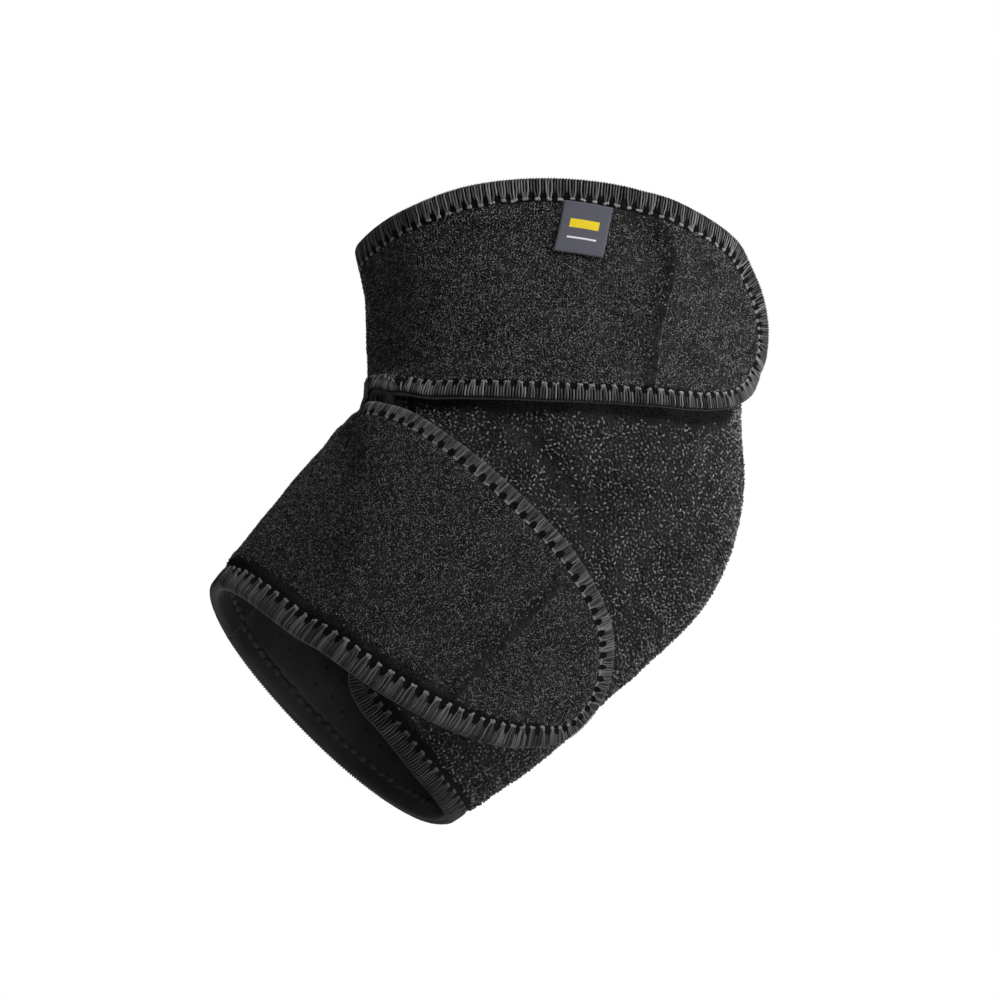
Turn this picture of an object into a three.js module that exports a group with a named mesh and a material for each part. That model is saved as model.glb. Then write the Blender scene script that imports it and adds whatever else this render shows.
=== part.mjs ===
// Wrap-around elbow brace, closed as it is worn on an arm bent by 45 degrees.
// Millimetres. The origin is the elbow's centre, where the axes of the two arm halves cross.
// +Z runs up the upper arm, +X towards the elbow point and -Y towards the side of the strap tabs.
import * as THREE from 'three';

// Arm form: the hollow that the brace wraps, given by its centre line and its half depths and width
const BEND_ANGLE = 45;
const CROOK_FOLD_RADIUS = 2.7;
const UPPER_REACH = 47.5;
const FOREARM_REACH = 75.4;
const HALF_DEPTH_FRONT = 50;
const HALF_DEPTH_BACK = 54;
const HALF_WIDTH = 40;

// Neoprene with its loop face, and the layers over it
const WALL = 3.5;
const CLEARANCE = 0.3;
const DRAPE_SLACK = 0.4;
const HOOK_WALL = 1.2;
const HOOK_MARGIN = 2.6;
const TAB_FLARE_UPPER = 5.7;
const TAB_FLARE_LOWER = 3.9;

// Overlocked thread band round each free edge
const EDGING_WIDTH = 6.6;
const EDGING_WALL = 0.5;
const STITCH_RISE = 0.3;

// Woven label under the upper strap's overlock
const LABEL_WIDTH = 14.5;
const LABEL_DROP = 15;
const LABEL_WALL = 0.6;
const LABEL_ANGLE = 269;

// Angles round the arm in degrees: 0 at the elbow point, 90 far side, 180 crook, 270 near side
const FULL_TURN = 360;
const SEAM_ANGLE = 140;
const EDGE_RAMP = 20;
const EDGE_LEAD = 5;

// Angles counted back from the centre of a strap's rounded tab
const HOOK_BACK = 17;
const HOOK_RAMP = 9;
const FLARE_BACK = 12;
const FLARE_SPAN = 42;

// Facets: length of a step along an edge, and on the tighter rounding of a tab or a corner
const EDGE_STEP = 10;
const ROUND_STEP = 5;
const LABEL_STEP = 5;
const PANEL_RINGS = 7;
const STRAP_RINGS = 3;

// A strap over the panel clears the proud threads of both, with a little slack as cloth has
const OVERLAP_LIFT = WALL + 2 * STITCH_RISE + CLEARANCE + DRAPE_SLACK;
const HOOK_LIFT = OVERLAP_LIFT + HOOK_WALL;

// The bend's pivot lies in front of the crook, clear of the outermost layer there
const CROOK_DEPTH_SHARE = 1.02;
const BEND_RADIUS = HALF_DEPTH_FRONT * CROOK_DEPTH_SHARE + WALL + OVERLAP_LIFT + CROOK_FOLD_RADIUS;
const BEND_LENGTH = BEND_RADIUS * THREE.MathUtils.degToRad(BEND_ANGLE);
const BEND_PIVOT = new THREE.Vector3(
  -BEND_RADIUS,
  0,
  BEND_RADIUS * Math.tan(THREE.MathUtils.degToRad(BEND_ANGLE) / 2),
);

// Every row's place along the centre line is a share of one stretch: up the upper arm, through the
// bend or down the forearm. Sections: front, back and side are shares of the half depths and width.
const ARM_SECTIONS = [
  { up: 1.26, front: 1.195, back: 1.0, side: 1.113 },
  { up: 0.63, front: 1.022, back: 1.004, side: 1.063 },
  { bend: 0, front: 0.984, back: 0.932, side: 1.025 },
  { bend: 0.49, front: 0.992, back: 1.053, side: 0.988 },
  { bend: 0.7, front: 1.018, back: 1.04, side: 0.975 },
  { bend: 1, front: 1.008, back: 0.988, side: 0.975 },
  { down: 0.47, front: 0.938, back: 0.971, side: 0.95 },
  { down: 1, front: 0.808, back: 0.852, side: 0.9 },
];

// The straps meet the panel edge to edge at the far-side seam, at the named clearance
const SEAM_GAP_ANGLE = THREE.MathUtils.radToDeg(CLEARANCE / HALF_WIDTH);
const STRAP_SEAM_ANGLE = SEAM_ANGLE + SEAM_GAP_ANGLE;
const BASE_SEAM_ANGLE = FULL_TURN + SEAM_ANGLE;
const SEAM_TOP = 0.84;
const SEAM_BOTTOM = 0.958;

// Outlines run from the far-side seam along the top edge, round the end and back to the seam
const BASE_TOP_EDGE = [
  { angle: BASE_SEAM_ANGLE, up: SEAM_TOP },
  { angle: 460, up: 0.88 },
  { angle: 420, up: 0.8 },
  { angle: 385, up: 0.65 },
  { angle: 360, up: 0.59 },
  { angle: 335, up: 0.65 },
  { angle: 305, up: 0.78 },
  { angle: 280, up: 0.83 },
  { angle: 250, up: 0.84 },
  { angle: 222, up: 0.8 },
  { angle: 203, up: 0.71 },
];

const BASE_FREE_EDGE = [
  { angle: 194, up: 0.54 },
  { angle: 194, up: 0.17 },
  { angle: 198, bend: 0.55 },
  { angle: 207, bend: 1 },
  { angle: 236, down: 0.28 },
  { angle: 256, down: 0.61 },
  { angle: 265, down: 0.81 },
  { angle: 270, down: 0.905 },
];

const BASE_FOREARM_RIM = [
  { angle: 276, down: 0.968 },
  { angle: 284, down: 0.992 },
  { angle: 296, down: 0.99 },
  { angle: 314, down: 0.983 },
  { angle: 337, down: 0.952 },
  { angle: 362, down: 0.918 },
  { angle: 390, down: 0.935 },
  { angle: 430, down: 0.953 },
  { angle: 465, down: 0.957 },
  { angle: BASE_SEAM_ANGLE, down: SEAM_BOTTOM },
];

const UPPER_STRAP_OUTLINE = [
  { angle: STRAP_SEAM_ANGLE, up: SEAM_TOP },
  { angle: 186, up: 0.834 },
  { angle: 212.6, up: 0.906 },
  { angle: 237.8, up: 0.992 },
  { angle: 261, up: 1.013 },
  { angle: 283.4, up: 0.978 },
  { angle: 304.8, up: 0.878 },
  { angle: 316.6, up: 0.782 },
  { angle: 323.4, up: 0.635 },
  { angle: 329.8, up: 0.478 },
  { angle: 334, up: 0.304 },
  { angle: 334, up: 0.107 },
  { angle: 328.3, bend: 0.057 },
  { angle: 320.8, bend: 0.132 },
  { angle: 312, bend: 0.18 },
  { angle: 303, bend: 0.216 },
  { angle: 279.5, bend: 0.302 },
  { angle: 258, bend: 0.433 },
  { angle: 247, bend: 0.524 },
  { angle: 236, bend: 0.665 },
  { angle: 224, bend: 0.89 },
  { angle: 213, down: 0.013 },
  { angle: 198, down: 0.027 },
  { angle: 180, down: 0.034 },
  { angle: STRAP_SEAM_ANGLE, down: 0.04 },
];

const LOWER_STRAP_OUTLINE = [
  { angle: STRAP_SEAM_ANGLE, down: 0.075 },
  { angle: 180, down: 0.074 },
  { angle: 204, down: 0.07 },
  { angle: 214, down: 0.061 },
  { angle: 224, down: 0.041 },
  { angle: 237, down: 0.03 },
  { angle: 253, down: 0.021 },
  { angle: 268, down: 0.013 },
  { angle: 283, down: 0.006 },
  { angle: 296.5, down: 0.019 },
  { angle: 306, down: 0.037 },
  { angle: 315, down: 0.07 },
  { angle: 323, down: 0.13 },
  { angle: 329.3, down: 0.21 },
  { angle: 333, down: 0.3 },
  { angle: 334.1, down: 0.414 },
  { angle: 332.4, down: 0.505 },
  { angle: 327.5, down: 0.594 },
  { angle: 320.5, down: 0.688 },
  { angle: 307, down: 0.799 },
  { angle: 291, down: 0.887 },
  { angle: 275, down: 0.941 },
  { angle: 258, down: 0.97 },
  { angle: 237, down: 0.98 },
  { angle: 210, down: 0.969 },
  { angle: 180, down: 0.959 },
  { angle: STRAP_SEAM_ANGLE, down: SEAM_BOTTOM },
];

// Each sheet's ribs run from its edge to a spine, which ends at the centre of the rounded end
const BASE_SPINE = { seam: { bend: 0.8 }, end: { bend: 0.7 }, endAngle: 234 };
const UPPER_SPINE = { seam: { up: 0.38 }, end: { up: 0.32 }, endAngle: 309 };
const LOWER_SPINE = { seam: { down: 0.52 }, end: { down: 0.42 }, endAngle: 307 };

const OUTLINE_SAMPLES = 900;
const RIB_SAMPLES = 24;
const METRIC_STEP = 0.5;
const WELD_DIGITS = 4;
const SAME_SHARE = 1e-6;

// Place along the centre line in millimetres: negative up the upper arm, zero where the bend starts
function stationOf(row) {
  if (row.up !== undefined) return -row.up * UPPER_REACH;
  if (row.bend !== undefined) return row.bend * BEND_LENGTH;
  return BEND_LENGTH + row.down * FOREARM_REACH;
}

const SECTION_COLUMNS = [
  ['front', HALF_DEPTH_FRONT],
  ['back', HALF_DEPTH_BACK],
  ['side', HALF_WIDTH],
];

// Half depths and half width of the hollow at a station, as smooth curves through the table's rows
function sectionAt(station) {
  const rows = ARM_SECTIONS.map((row) => ({ ...row, station: stationOf(row) }));
  const last = rows.length - 1;
  const place = THREE.MathUtils.clamp(station, rows[0].station, rows[last].station);
  const above = rows.findIndex((row, k) => k < last && place <= rows[k + 1].station);
  const from = rows[above];
  const to = rows[above + 1];
  const span = to.station - from.station;
  const u = (place - from.station) / span;
  const slope = (k, column) => {
    const before = rows[Math.max(k - 1, 0)];
    const after = rows[Math.min(k + 1, last)];
    return (after[column] - before[column]) / (after.station - before.station);
  };
  const section = {};
  for (const [column, size] of SECTION_COLUMNS) {
    const value =
      (2 * u ** 3 - 3 * u ** 2 + 1) * from[column] +
      (u ** 3 - 2 * u ** 2 + u) * span * slope(above, column) +
      (3 * u ** 2 - 2 * u ** 3) * to[column] +
      (u ** 3 - u ** 2) * span * slope(above + 1, column);
    section[column] = value * size;
  }
  return section;
}

// A point on the wrapped arm: angle round it, station along it, lift out from the hollow's surface
function armPoint(angle, station, lift) {
  const { front, back, side } = sectionAt(station);
  const bent = THREE.MathUtils.clamp(station, 0, BEND_LENGTH);
  const turn = bent / BEND_RADIUS;
  const theta = THREE.MathUtils.degToRad(angle);
  const depth = Math.cos(theta) > 0 ? back : front;
  const normal = new THREE.Vector2(side * Math.cos(theta), depth * Math.sin(theta)).normalize();
  const outward = new THREE.Vector3(Math.cos(turn), 0, -Math.sin(turn));
  const along = new THREE.Vector3(-Math.sin(turn), 0, -Math.cos(turn));
  const sideways = new THREE.Vector3(0, 1, 0);
  return BEND_PIVOT.clone()
    .addScaledVector(outward, BEND_RADIUS + depth * Math.cos(theta) + lift * normal.x)
    .addScaledVector(along, station - bent)
    .addScaledVector(sideways, side * Math.sin(theta) + lift * normal.y);
}

// Angles and stations meet in one flat chart, with both axes in millimetres
const CHART_PER_DEGREE = HALF_WIDTH * THREE.MathUtils.DEG2RAD;

function sampleOutline(rows, midPoint) {
  const knots = rows.map((row) => new THREE.Vector3(row.angle * CHART_PER_DEGREE, stationOf(row), 0));
  const curve = new THREE.CatmullRomCurve3(knots, false, 'centripetal');
  const samples = [];
  let length = 0;
  for (let k = 0; k <= OUTLINE_SAMPLES; k += 1) {
    const knot = curve.getPoint(k / OUTLINE_SAMPLES);
    const sample = { angle: knot.x / CHART_PER_DEGREE, station: knot.y };
    sample.point = midPoint(sample.angle, sample.station);
    if (k > 0) length += sample.point.distanceTo(samples[k - 1].point);
    samples.push({ ...sample, length });
  }
  return samples;
}

// The outline's sample at a length along it, with the edge's direction there
function edgeAt(samples, length) {
  const after = Math.max(1, samples.findIndex((sample) => sample.length >= length - 1e-9));
  const a = samples[after - 1];
  const b = samples[after];
  const u = (length - a.length) / (b.length - a.length);
  return {
    angle: THREE.MathUtils.lerp(a.angle, b.angle, u),
    station: THREE.MathUtils.lerp(a.station, b.station, u),
    alongAngle: b.angle - a.angle,
    alongStation: b.station - a.station,
  };
}

// A rib leaves the edge square to it and bends towards its foot on the spine
function makeRib(edge, foot, square, midPoint) {
  const here = midPoint(edge.angle, edge.station);
  const perDegree = midPoint(edge.angle + METRIC_STEP, edge.station).distanceTo(here) / METRIC_STEP;
  const perStation = midPoint(edge.angle, edge.station + METRIC_STEP).distanceTo(here) / METRIC_STEP;
  const toFoot = new THREE.Vector2(
    (foot.angle - edge.angle) * perDegree,
    (foot.station - edge.station) * perStation,
  );
  const inward = new THREE.Vector2(-edge.alongStation * perStation, edge.alongAngle * perDegree);
  inward.normalize();
  if (inward.dot(toFoot) < 0) inward.negate();
  const lead = square ? inward.multiplyScalar(toFoot.length() / 2) : toFoot.clone().multiplyScalar(0.5);
  const control = {
    angle: edge.angle + lead.x / perDegree,
    station: edge.station + lead.y / perStation,
  };
  const at = (share) => {
    const bend = (column) =>
      (1 - share) ** 2 * edge[column] + 2 * share * (1 - share) * control[column] + share ** 2 * foot[column];
    return { angle: bend('angle'), station: bend('station') };
  };
  const lengths = [0];
  let before = here;
  for (let k = 1; k <= RIB_SAMPLES; k += 1) {
    const next = at(k / RIB_SAMPLES);
    const point = midPoint(next.angle, next.station);
    lengths.push(lengths[k - 1] + point.distanceTo(before));
    before = point;
  }
  const shareAt = (inset) => {
    const k = lengths.findIndex((length) => length > inset);
    return (k - 1 + (inset - lengths[k - 1]) / (lengths[k] - lengths[k - 1])) / RIB_SAMPLES;
  };
  return { at, shareAt };
}

// Shares from 0 to 1 in even steps of about the given length, with the breaks kept as exact steps
function evenShares(length, step, breaks = []) {
  const stops = [0, ...breaks, 1];
  const shares = [0];
  for (let k = 1; k < stops.length; k += 1) {
    const span = stops[k] - stops[k - 1];
    const count = Math.max(1, Math.round((span * length) / step));
    for (let n = 1; n <= count; n += 1) shares.push(stops[k - 1] + (span * n) / count);
  }
  return shares;
}

// Lengths along the outline where it passes the spine's end, on the way out and on the way back
function roundEnd(samples, endAngle, seamAngle) {
  const past = samples.filter((sample) => (sample.angle - endAngle) * (endAngle - seamAngle) > 0);
  return [past[0].length, past[past.length - 1].length];
}

// A cloth sheet on the arm: its ribs in order round the edge, and its lift off the hollow's surface
function makeSheet({ outline, spine, seamAngle, lift, breaks = [] }) {
  const midPoint = (angle, station) => armPoint(angle, station, lift(angle, station) + WALL / 2);
  const samples = sampleOutline(outline, midPoint);
  const total = samples[samples.length - 1].length;
  const [outRun, backRun] = roundEnd(samples, spine.endAngle, seamAngle);
  const footAt = (share) => ({
    angle: THREE.MathUtils.lerp(seamAngle, spine.endAngle, share),
    station: THREE.MathUtils.lerp(stationOf(spine.seam), stationOf(spine.end), share),
  });
  const ribAt = (length, share) => ({
    share,
    ...makeRib(edgeAt(samples, length), footAt(share), share > 0, midPoint),
  });
  const topRib = (share) => ribAt(outRun * share, share);
  const endRib = (share) => ribAt(THREE.MathUtils.lerp(outRun, backRun, share), 1);
  const bottomRib = (share) => ribAt(THREE.MathUtils.lerp(total, backRun, share), share);
  const breakShares = breaks.map((angle) => (angle - seamAngle) / (spine.endAngle - seamAngle));
  const sideShares = evenShares(Math.max(outRun, total - backRun), EDGE_STEP, breakShares);
  const endShares = evenShares(backRun - outRun, ROUND_STEP);
  const ribs = [
    ...sideShares.map(topRib),
    ...endShares.slice(1, -1).map(endRib),
    ...[...sideShares].reverse().map(bottomRib),
  ];
  const topShareAt = (angle) =>
    samples.find((sample) => (sample.angle - angle) * (angle - seamAngle) >= 0).length / outRun;
  return { ribs, lift, topRib, topShareAt, topLength: outRun };
}

// A closed skin: shared corners are welded, collapsed faces are left out, faces point outward
class Skin {
  constructor() {
    this.points = [];
    this.faces = [];
    this.known = new Map();
  }

  vertex(point) {
    const key = point.toArray().map((value) => value.toFixed(WELD_DIGITS)).join(' ');
    if (!this.known.has(key)) {
      this.known.set(key, this.points.length);
      this.points.push(point);
    }
    return this.known.get(key);
  }

  triangle(a, b, c) {
    if (a !== b && b !== c && c !== a) this.faces.push([a, b, c]);
  }

  quad(a, b, c, d) {
    this.triangle(a, b, c);
    this.triangle(a, c, d);
  }

  volume() {
    const corner = (face, k) => this.points[face[k]];
    return this.faces.reduce(
      (sum, face) => sum + corner(face, 0).dot(corner(face, 1).clone().cross(corner(face, 2))) / 6,
      0,
    );
  }

  mesh(name, material) {
    const outward = this.volume() > 0;
    const geometry = new THREE.BufferGeometry();
    const positions = this.points.flatMap((point) => point.toArray());
    geometry.setAttribute('position', new THREE.Float32BufferAttribute(positions, 3));
    geometry.setIndex(this.faces.flatMap(([a, b, c]) => (outward ? [a, b, c] : [a, c, b])));
    geometry.computeVertexNormals();
    const mesh = new THREE.Mesh(geometry, material);
    mesh.name = name;
    return mesh;
  }
}

// Points of one rib's cross-section. A step has an inset from the edge, or a share of what is left
// of the rib past the hook patch's edge. Its height is counted from the middle of the sheet's wall.
function ribSection(sheet, rib, steps) {
  const borderShare = rib.shareAt(HOOK_INSET);
  return steps.map((step) => {
    const share =
      step.inner === undefined ? rib.shareAt(step.inset) : THREE.MathUtils.lerp(borderShare, 1, step.inner);
    const { angle, station } = rib.at(share);
    return armPoint(angle, station, sheet.lift(angle, station) + WALL / 2 + step.height);
  });
}

// A sheet's solid: sections from the outer foot round the edge to the inner foot of every rib
function sheetSkin(sections) {
  const skin = new Skin();
  const rows = sections.map((section) => section.map((point) => skin.vertex(point)));
  for (let k = 0; k + 1 < rows.length; k += 1) {
    for (let j = 0; j + 1 < rows[k].length; j += 1) {
      skin.quad(rows[k][j], rows[k][j + 1], rows[k + 1][j + 1], rows[k + 1][j]);
    }
  }
  closeAcross(skin, [...rows[0]].reverse());
  closeAcross(skin, rows[rows.length - 1]);
  return skin;
}

// The flat end of a sheet: a strip between the outer and the inner half of one section
function closeAcross(skin, row) {
  const count = row.length;
  for (let j = 0; j + 1 <= count - 2 - j; j += 1) {
    skin.quad(row[j], row[j + 1], row[count - 2 - j], row[count - 1 - j]);
  }
}

// A bar along the edge: closed sections joined in order, with a flat cap on each end. The second
// half of a section splits along the other diagonals, as the cloth does, so that the gap stays even.
function barSkin(sections, flatSection) {
  const skin = new Skin();
  const rows = sections.map((section) => section.map((point) => skin.vertex(point)));
  const count = rows[0].length;
  for (let k = 0; k + 1 < rows.length; k += 1) {
    for (let j = 0; j < count; j += 1) {
      const next = (j + 1) % count;
      const corners = [rows[k][j], rows[k][next], rows[k + 1][next], rows[k + 1][j]];
      if (j >= count / 2) corners.push(corners.shift());
      skin.quad(...corners);
    }
  }
  const contour = flatSection.map(({ inset, height }) => new THREE.Vector2(inset, height));
  const first = rows[0];
  const last = rows[rows.length - 1];
  const turned = THREE.ShapeUtils.area(contour) < 0;
  for (const [a, b, c] of THREE.ShapeUtils.triangulateShape(contour, [])) {
    if (turned) {
      skin.triangle(first[a], first[b], first[c]);
      skin.triangle(last[c], last[b], last[a]);
    } else {
      skin.triangle(first[c], first[b], first[a]);
      skin.triangle(last[a], last[b], last[c]);
    }
  }
  return skin;
}

// Half thicknesses across the thread band: its outside, its inside, and the sheet slimmed within it
const BAND_OUTER_HALF = WALL / 2 + STITCH_RISE;
const BAND_INNER_HALF = BAND_OUTER_HALF - EDGING_WALL;
const SLIM_HALF = BAND_INNER_HALF - CLEARANCE;
const SHOULDER = EDGING_WIDTH + 2 * CLEARANCE;
const HOOK_INSET = SHOULDER + HOOK_MARGIN;
const ROUNDING_ANGLES = [90, 50, 0, -50, -90];

// A rounded edge, from the outer face over the nose to the inner face
function roundedEdge(half) {
  return ROUNDING_ANGLES.map((angle) => {
    const turn = THREE.MathUtils.degToRad(angle);
    return { inset: BAND_OUTER_HALF - half * Math.cos(turn), height: half * Math.sin(turn) };
  });
}

// Steps from the spine out to the inset where a hook patch ends, at one height
function innerSteps(rings, height) {
  return Array.from({ length: rings + 1 }, (unused, k) => ({ inner: 1 - k / rings, height }));
}

const mirrored = (steps) => steps.map((step) => ({ ...step, height: -step.height })).reverse();

function makeClothSheet(sheet, rings) {
  const outerFace = [
    ...innerSteps(rings, WALL / 2),
    { inset: SHOULDER, height: WALL / 2 },
    { inset: EDGING_WIDTH, height: SLIM_HALF },
  ];
  const steps = [...outerFace, ...roundedEdge(SLIM_HALF), ...mirrored(outerFace)];
  return sheetSkin(sheet.ribs.map((rib) => ribSection(sheet, rib, steps)));
}

// The thread band is a channel that wraps the slimmed edge at the named clearance
function makeEdging(sheet) {
  const around = (half) => [
    { inset: EDGING_WIDTH, height: half },
    ...roundedEdge(half),
    { inset: EDGING_WIDTH, height: -half },
  ];
  const steps = [...around(BAND_OUTER_HALF), ...around(BAND_INNER_HALF).reverse()];
  return barSkin(sheet.ribs.map((rib) => ribSection(sheet, rib, steps)), steps);
}

// The hook patch lies under the strap's end, between the strap and the panel
function makeHookPatch(sheet, spine, rings) {
  const from = 1 - HOOK_BACK / (spine.endAngle - STRAP_SEAM_ANGLE);
  const ribs = sheet.ribs.filter((rib) => rib.share >= from - SAME_SHARE);
  const top = -WALL / 2 - CLEARANCE;
  const steps = [...innerSteps(rings, top - HOOK_WALL), ...innerSteps(rings, top).reverse()];
  return sheetSkin(ribs.map((rib) => ribSection(sheet, rib, steps)));
}

// The label hangs from the thread band on the strap's outer face
function makeLabel(sheet) {
  const centre = sheet.topShareAt(LABEL_ANGLE);
  const halfShare = LABEL_WIDTH / 2 / sheet.topLength;
  const back = WALL / 2 + CLEARANCE;
  const front = back + LABEL_WALL;
  const stops = evenShares(LABEL_DROP, LABEL_STEP);
  const insets = stops.map((share) => EDGING_WIDTH + CLEARANCE + share * LABEL_DROP);
  const steps = [
    ...insets.map((inset) => ({ inset, height: front })),
    ...insets.map((inset) => ({ inset, height: back })).reverse(),
  ];
  const columns = evenShares(LABEL_WIDTH, LABEL_STEP).map((share) =>
    sheet.topRib(centre + (2 * share - 1) * halfShare),
  );
  return barSkin(columns.map((rib) => ribSection(sheet, rib, steps)), steps);
}

const ramp = (value, length) => THREE.MathUtils.smoothstep(value, 0, length);

// Angle of the panel's free edge at a station, so that the straps step up just before it
function freeEdgeAngle(station) {
  const places = BASE_FREE_EDGE.map((row) => ({ angle: row.angle, station: stationOf(row) }));
  const last = places[places.length - 1];
  if (station <= places[0].station) return places[0].angle;
  if (station >= last.station) return last.angle;
  const k = places.findIndex((place) => place.station >= station);
  const u = (station - places[k - 1].station) / (places[k].station - places[k - 1].station);
  return THREE.MathUtils.lerp(places[k - 1].angle, places[k].angle, u);
}

// A strap lies on the arm, steps over the panel's free edge, then over the hook patch under its end,
// and the tab leaves the arm in a slow curve
function strapLift(tabAngle, flare) {
  return (angle, station) => {
    const overPanel = ramp(angle - freeEdgeAngle(station) + EDGE_LEAD + EDGE_RAMP, EDGE_RAMP);
    const overHook = ramp(angle - tabAngle + HOOK_BACK + HOOK_RAMP, HOOK_RAMP);
    const outTab = Math.max(0, (angle - tabAngle + FLARE_BACK) / FLARE_SPAN) ** 2;
    return OVERLAP_LIFT * overPanel + (HOOK_LIFT - OVERLAP_LIFT) * overHook + flare * outTab;
  };
}

function makeStrap(outline, spine, flare) {
  return makeSheet({
    outline,
    spine,
    seamAngle: STRAP_SEAM_ANGLE,
    lift: strapLift(spine.endAngle, flare),
    breaks: [spine.endAngle - HOOK_BACK],
  });
}

const basePanel = makeSheet({
  outline: [...BASE_TOP_EDGE, ...BASE_FREE_EDGE, ...BASE_FOREARM_RIM],
  spine: BASE_SPINE,
  seamAngle: BASE_SEAM_ANGLE,
  lift: () => 0,
});

const upperStrap = makeStrap(UPPER_STRAP_OUTLINE, UPPER_SPINE, TAB_FLARE_UPPER);
const lowerStrap = makeStrap(LOWER_STRAP_OUTLINE, LOWER_SPINE, TAB_FLARE_LOWER);

const neoprene = new THREE.MeshStandardMaterial({ color: 0x1f1f20, roughness: 0.95, metalness: 0 });
const thread = new THREE.MeshStandardMaterial({ color: 0x2b2b2c, roughness: 0.7, metalness: 0 });
const hook = new THREE.MeshStandardMaterial({ color: 0x161617, roughness: 0.6, metalness: 0 });
const weave = new THREE.MeshStandardMaterial({ color: 0x4a4a58, roughness: 0.8, metalness: 0 });

const brace = new THREE.Group();
brace.add(makeClothSheet(basePanel, PANEL_RINGS).mesh('base_panel', neoprene.clone()));
brace.add(makeEdging(basePanel).mesh('base_panel_edging', thread.clone()));
brace.add(makeClothSheet(upperStrap, STRAP_RINGS).mesh('upper_strap', neoprene.clone()));
brace.add(makeEdging(upperStrap).mesh('upper_strap_edging', thread.clone()));
brace.add(makeClothSheet(lowerStrap, STRAP_RINGS).mesh('lower_strap', neoprene.clone()));
brace.add(makeEdging(lowerStrap).mesh('lower_strap_edging', thread.clone()));
brace.add(makeHookPatch(upperStrap, UPPER_SPINE, STRAP_RINGS).mesh('upper_hook_patch', hook.clone()));
brace.add(makeHookPatch(lowerStrap, LOWER_SPINE, STRAP_RINGS).mesh('lower_hook_patch', hook.clone()));
brace.add(makeLabel(upperStrap).mesh('woven_label', weave));

export default brace;
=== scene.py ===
# Wrap-around elbow brace in black loop-faced neoprene, closed as it is worn on a bent arm.
# Sizes are in millimetres and become metres when a mesh is made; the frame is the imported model's.
import math

import bmesh
import bpy
import numpy as np
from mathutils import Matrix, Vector, kdtree, noise


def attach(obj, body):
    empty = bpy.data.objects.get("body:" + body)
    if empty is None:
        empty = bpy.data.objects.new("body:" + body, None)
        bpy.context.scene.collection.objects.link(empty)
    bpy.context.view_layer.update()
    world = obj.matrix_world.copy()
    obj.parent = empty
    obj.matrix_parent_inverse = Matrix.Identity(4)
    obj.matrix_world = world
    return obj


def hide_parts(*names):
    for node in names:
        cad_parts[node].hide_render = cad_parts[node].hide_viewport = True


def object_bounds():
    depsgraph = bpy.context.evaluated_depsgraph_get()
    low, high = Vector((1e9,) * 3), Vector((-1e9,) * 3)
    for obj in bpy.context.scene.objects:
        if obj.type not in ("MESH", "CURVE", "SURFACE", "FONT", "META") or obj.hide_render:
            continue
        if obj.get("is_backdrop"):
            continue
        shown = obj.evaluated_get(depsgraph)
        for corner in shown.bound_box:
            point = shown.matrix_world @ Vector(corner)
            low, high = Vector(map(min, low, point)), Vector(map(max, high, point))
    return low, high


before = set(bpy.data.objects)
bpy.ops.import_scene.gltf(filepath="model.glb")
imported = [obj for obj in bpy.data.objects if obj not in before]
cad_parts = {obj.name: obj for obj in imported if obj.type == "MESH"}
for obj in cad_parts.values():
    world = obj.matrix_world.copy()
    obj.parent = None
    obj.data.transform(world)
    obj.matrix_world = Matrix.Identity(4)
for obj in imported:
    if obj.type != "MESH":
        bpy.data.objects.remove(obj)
cad_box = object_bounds()

# Main panel: one piece of 3.5 mm neoprene, a soft foam with loop pile bonded outside and a smooth
# lining inside. It runs from a sewn seam on the far side round the elbow point to a free edge
# under the straps. It is cut flat and takes the bent arm's form when it is wrapped.
BEND_ANGLE = math.radians(45)
BEND_RADIUS = 62.0
BEND_LENGTH = BEND_RADIUS * BEND_ANGLE
BEND_PIVOT = np.array([-BEND_RADIUS, 0, BEND_RADIUS * math.tan(BEND_ANGLE / 2)])
UPPER_REACH = 47.5
FOREARM_REACH = 75.4
HALF_SIZES = np.array([50.0, 54.0, 40.0])
CHART_PER_DEGREE = math.radians(HALF_SIZES[2])
WALL = 3.5
MM = 0.001

# A place along the arm's centre line is a share of the upper arm, of the bend or of the forearm
STRETCHES = {
    "up": lambda share: -share * UPPER_REACH,
    "bend": lambda share: share * BEND_LENGTH,
    "down": lambda share: BEND_LENGTH + share * FOREARM_REACH,
}

# place, then the hollow's front, back and side as shares of its half sizes
ARM_SECTIONS = [
    ("up", 1.26, 1.195, 1.0, 1.113),
    ("up", 0.63, 1.022, 1.004, 1.063),
    ("bend", 0, 0.984, 0.932, 1.025),
    ("bend", 0.49, 0.992, 1.053, 0.988),
    ("bend", 0.7, 1.018, 1.04, 0.975),
    ("bend", 1, 1.008, 0.988, 0.975),
    ("down", 0.47, 0.938, 0.971, 0.95),
    ("down", 1, 0.808, 0.852, 0.9),
]


def station_of(stretch, share):
    """Millimetres along the centre line, negative on the upper arm."""
    return STRETCHES[stretch](share)


def section_at(station):
    """Front, back and side of the hollow at each station, as smooth curves through the table."""
    places = np.array([station_of(row[0], row[1]) for row in ARM_SECTIONS])
    sizes = np.array([row[2:] for row in ARM_SECTIONS]) * HALF_SIZES
    before = np.maximum(np.arange(len(places)) - 1, 0)
    after = np.minimum(np.arange(len(places)) + 1, len(places) - 1)
    slopes = (sizes[after] - sizes[before]) / (places[after] - places[before])[:, None]
    place = np.clip(station, places[0], places[-1])
    row = np.clip(np.searchsorted(places, place, side="right") - 1, 0, len(places) - 2)
    span = (places[row + 1] - places[row])[..., None]
    u = (place[..., None] - places[row][..., None]) / span
    return (
        (2 * u**3 - 3 * u**2 + 1) * sizes[row]
        + (u**3 - 2 * u**2 + u) * span * slopes[row]
        + (3 * u**2 - 2 * u**3) * sizes[row + 1]
        + (u**3 - u**2) * span * slopes[row + 1]
    )


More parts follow.
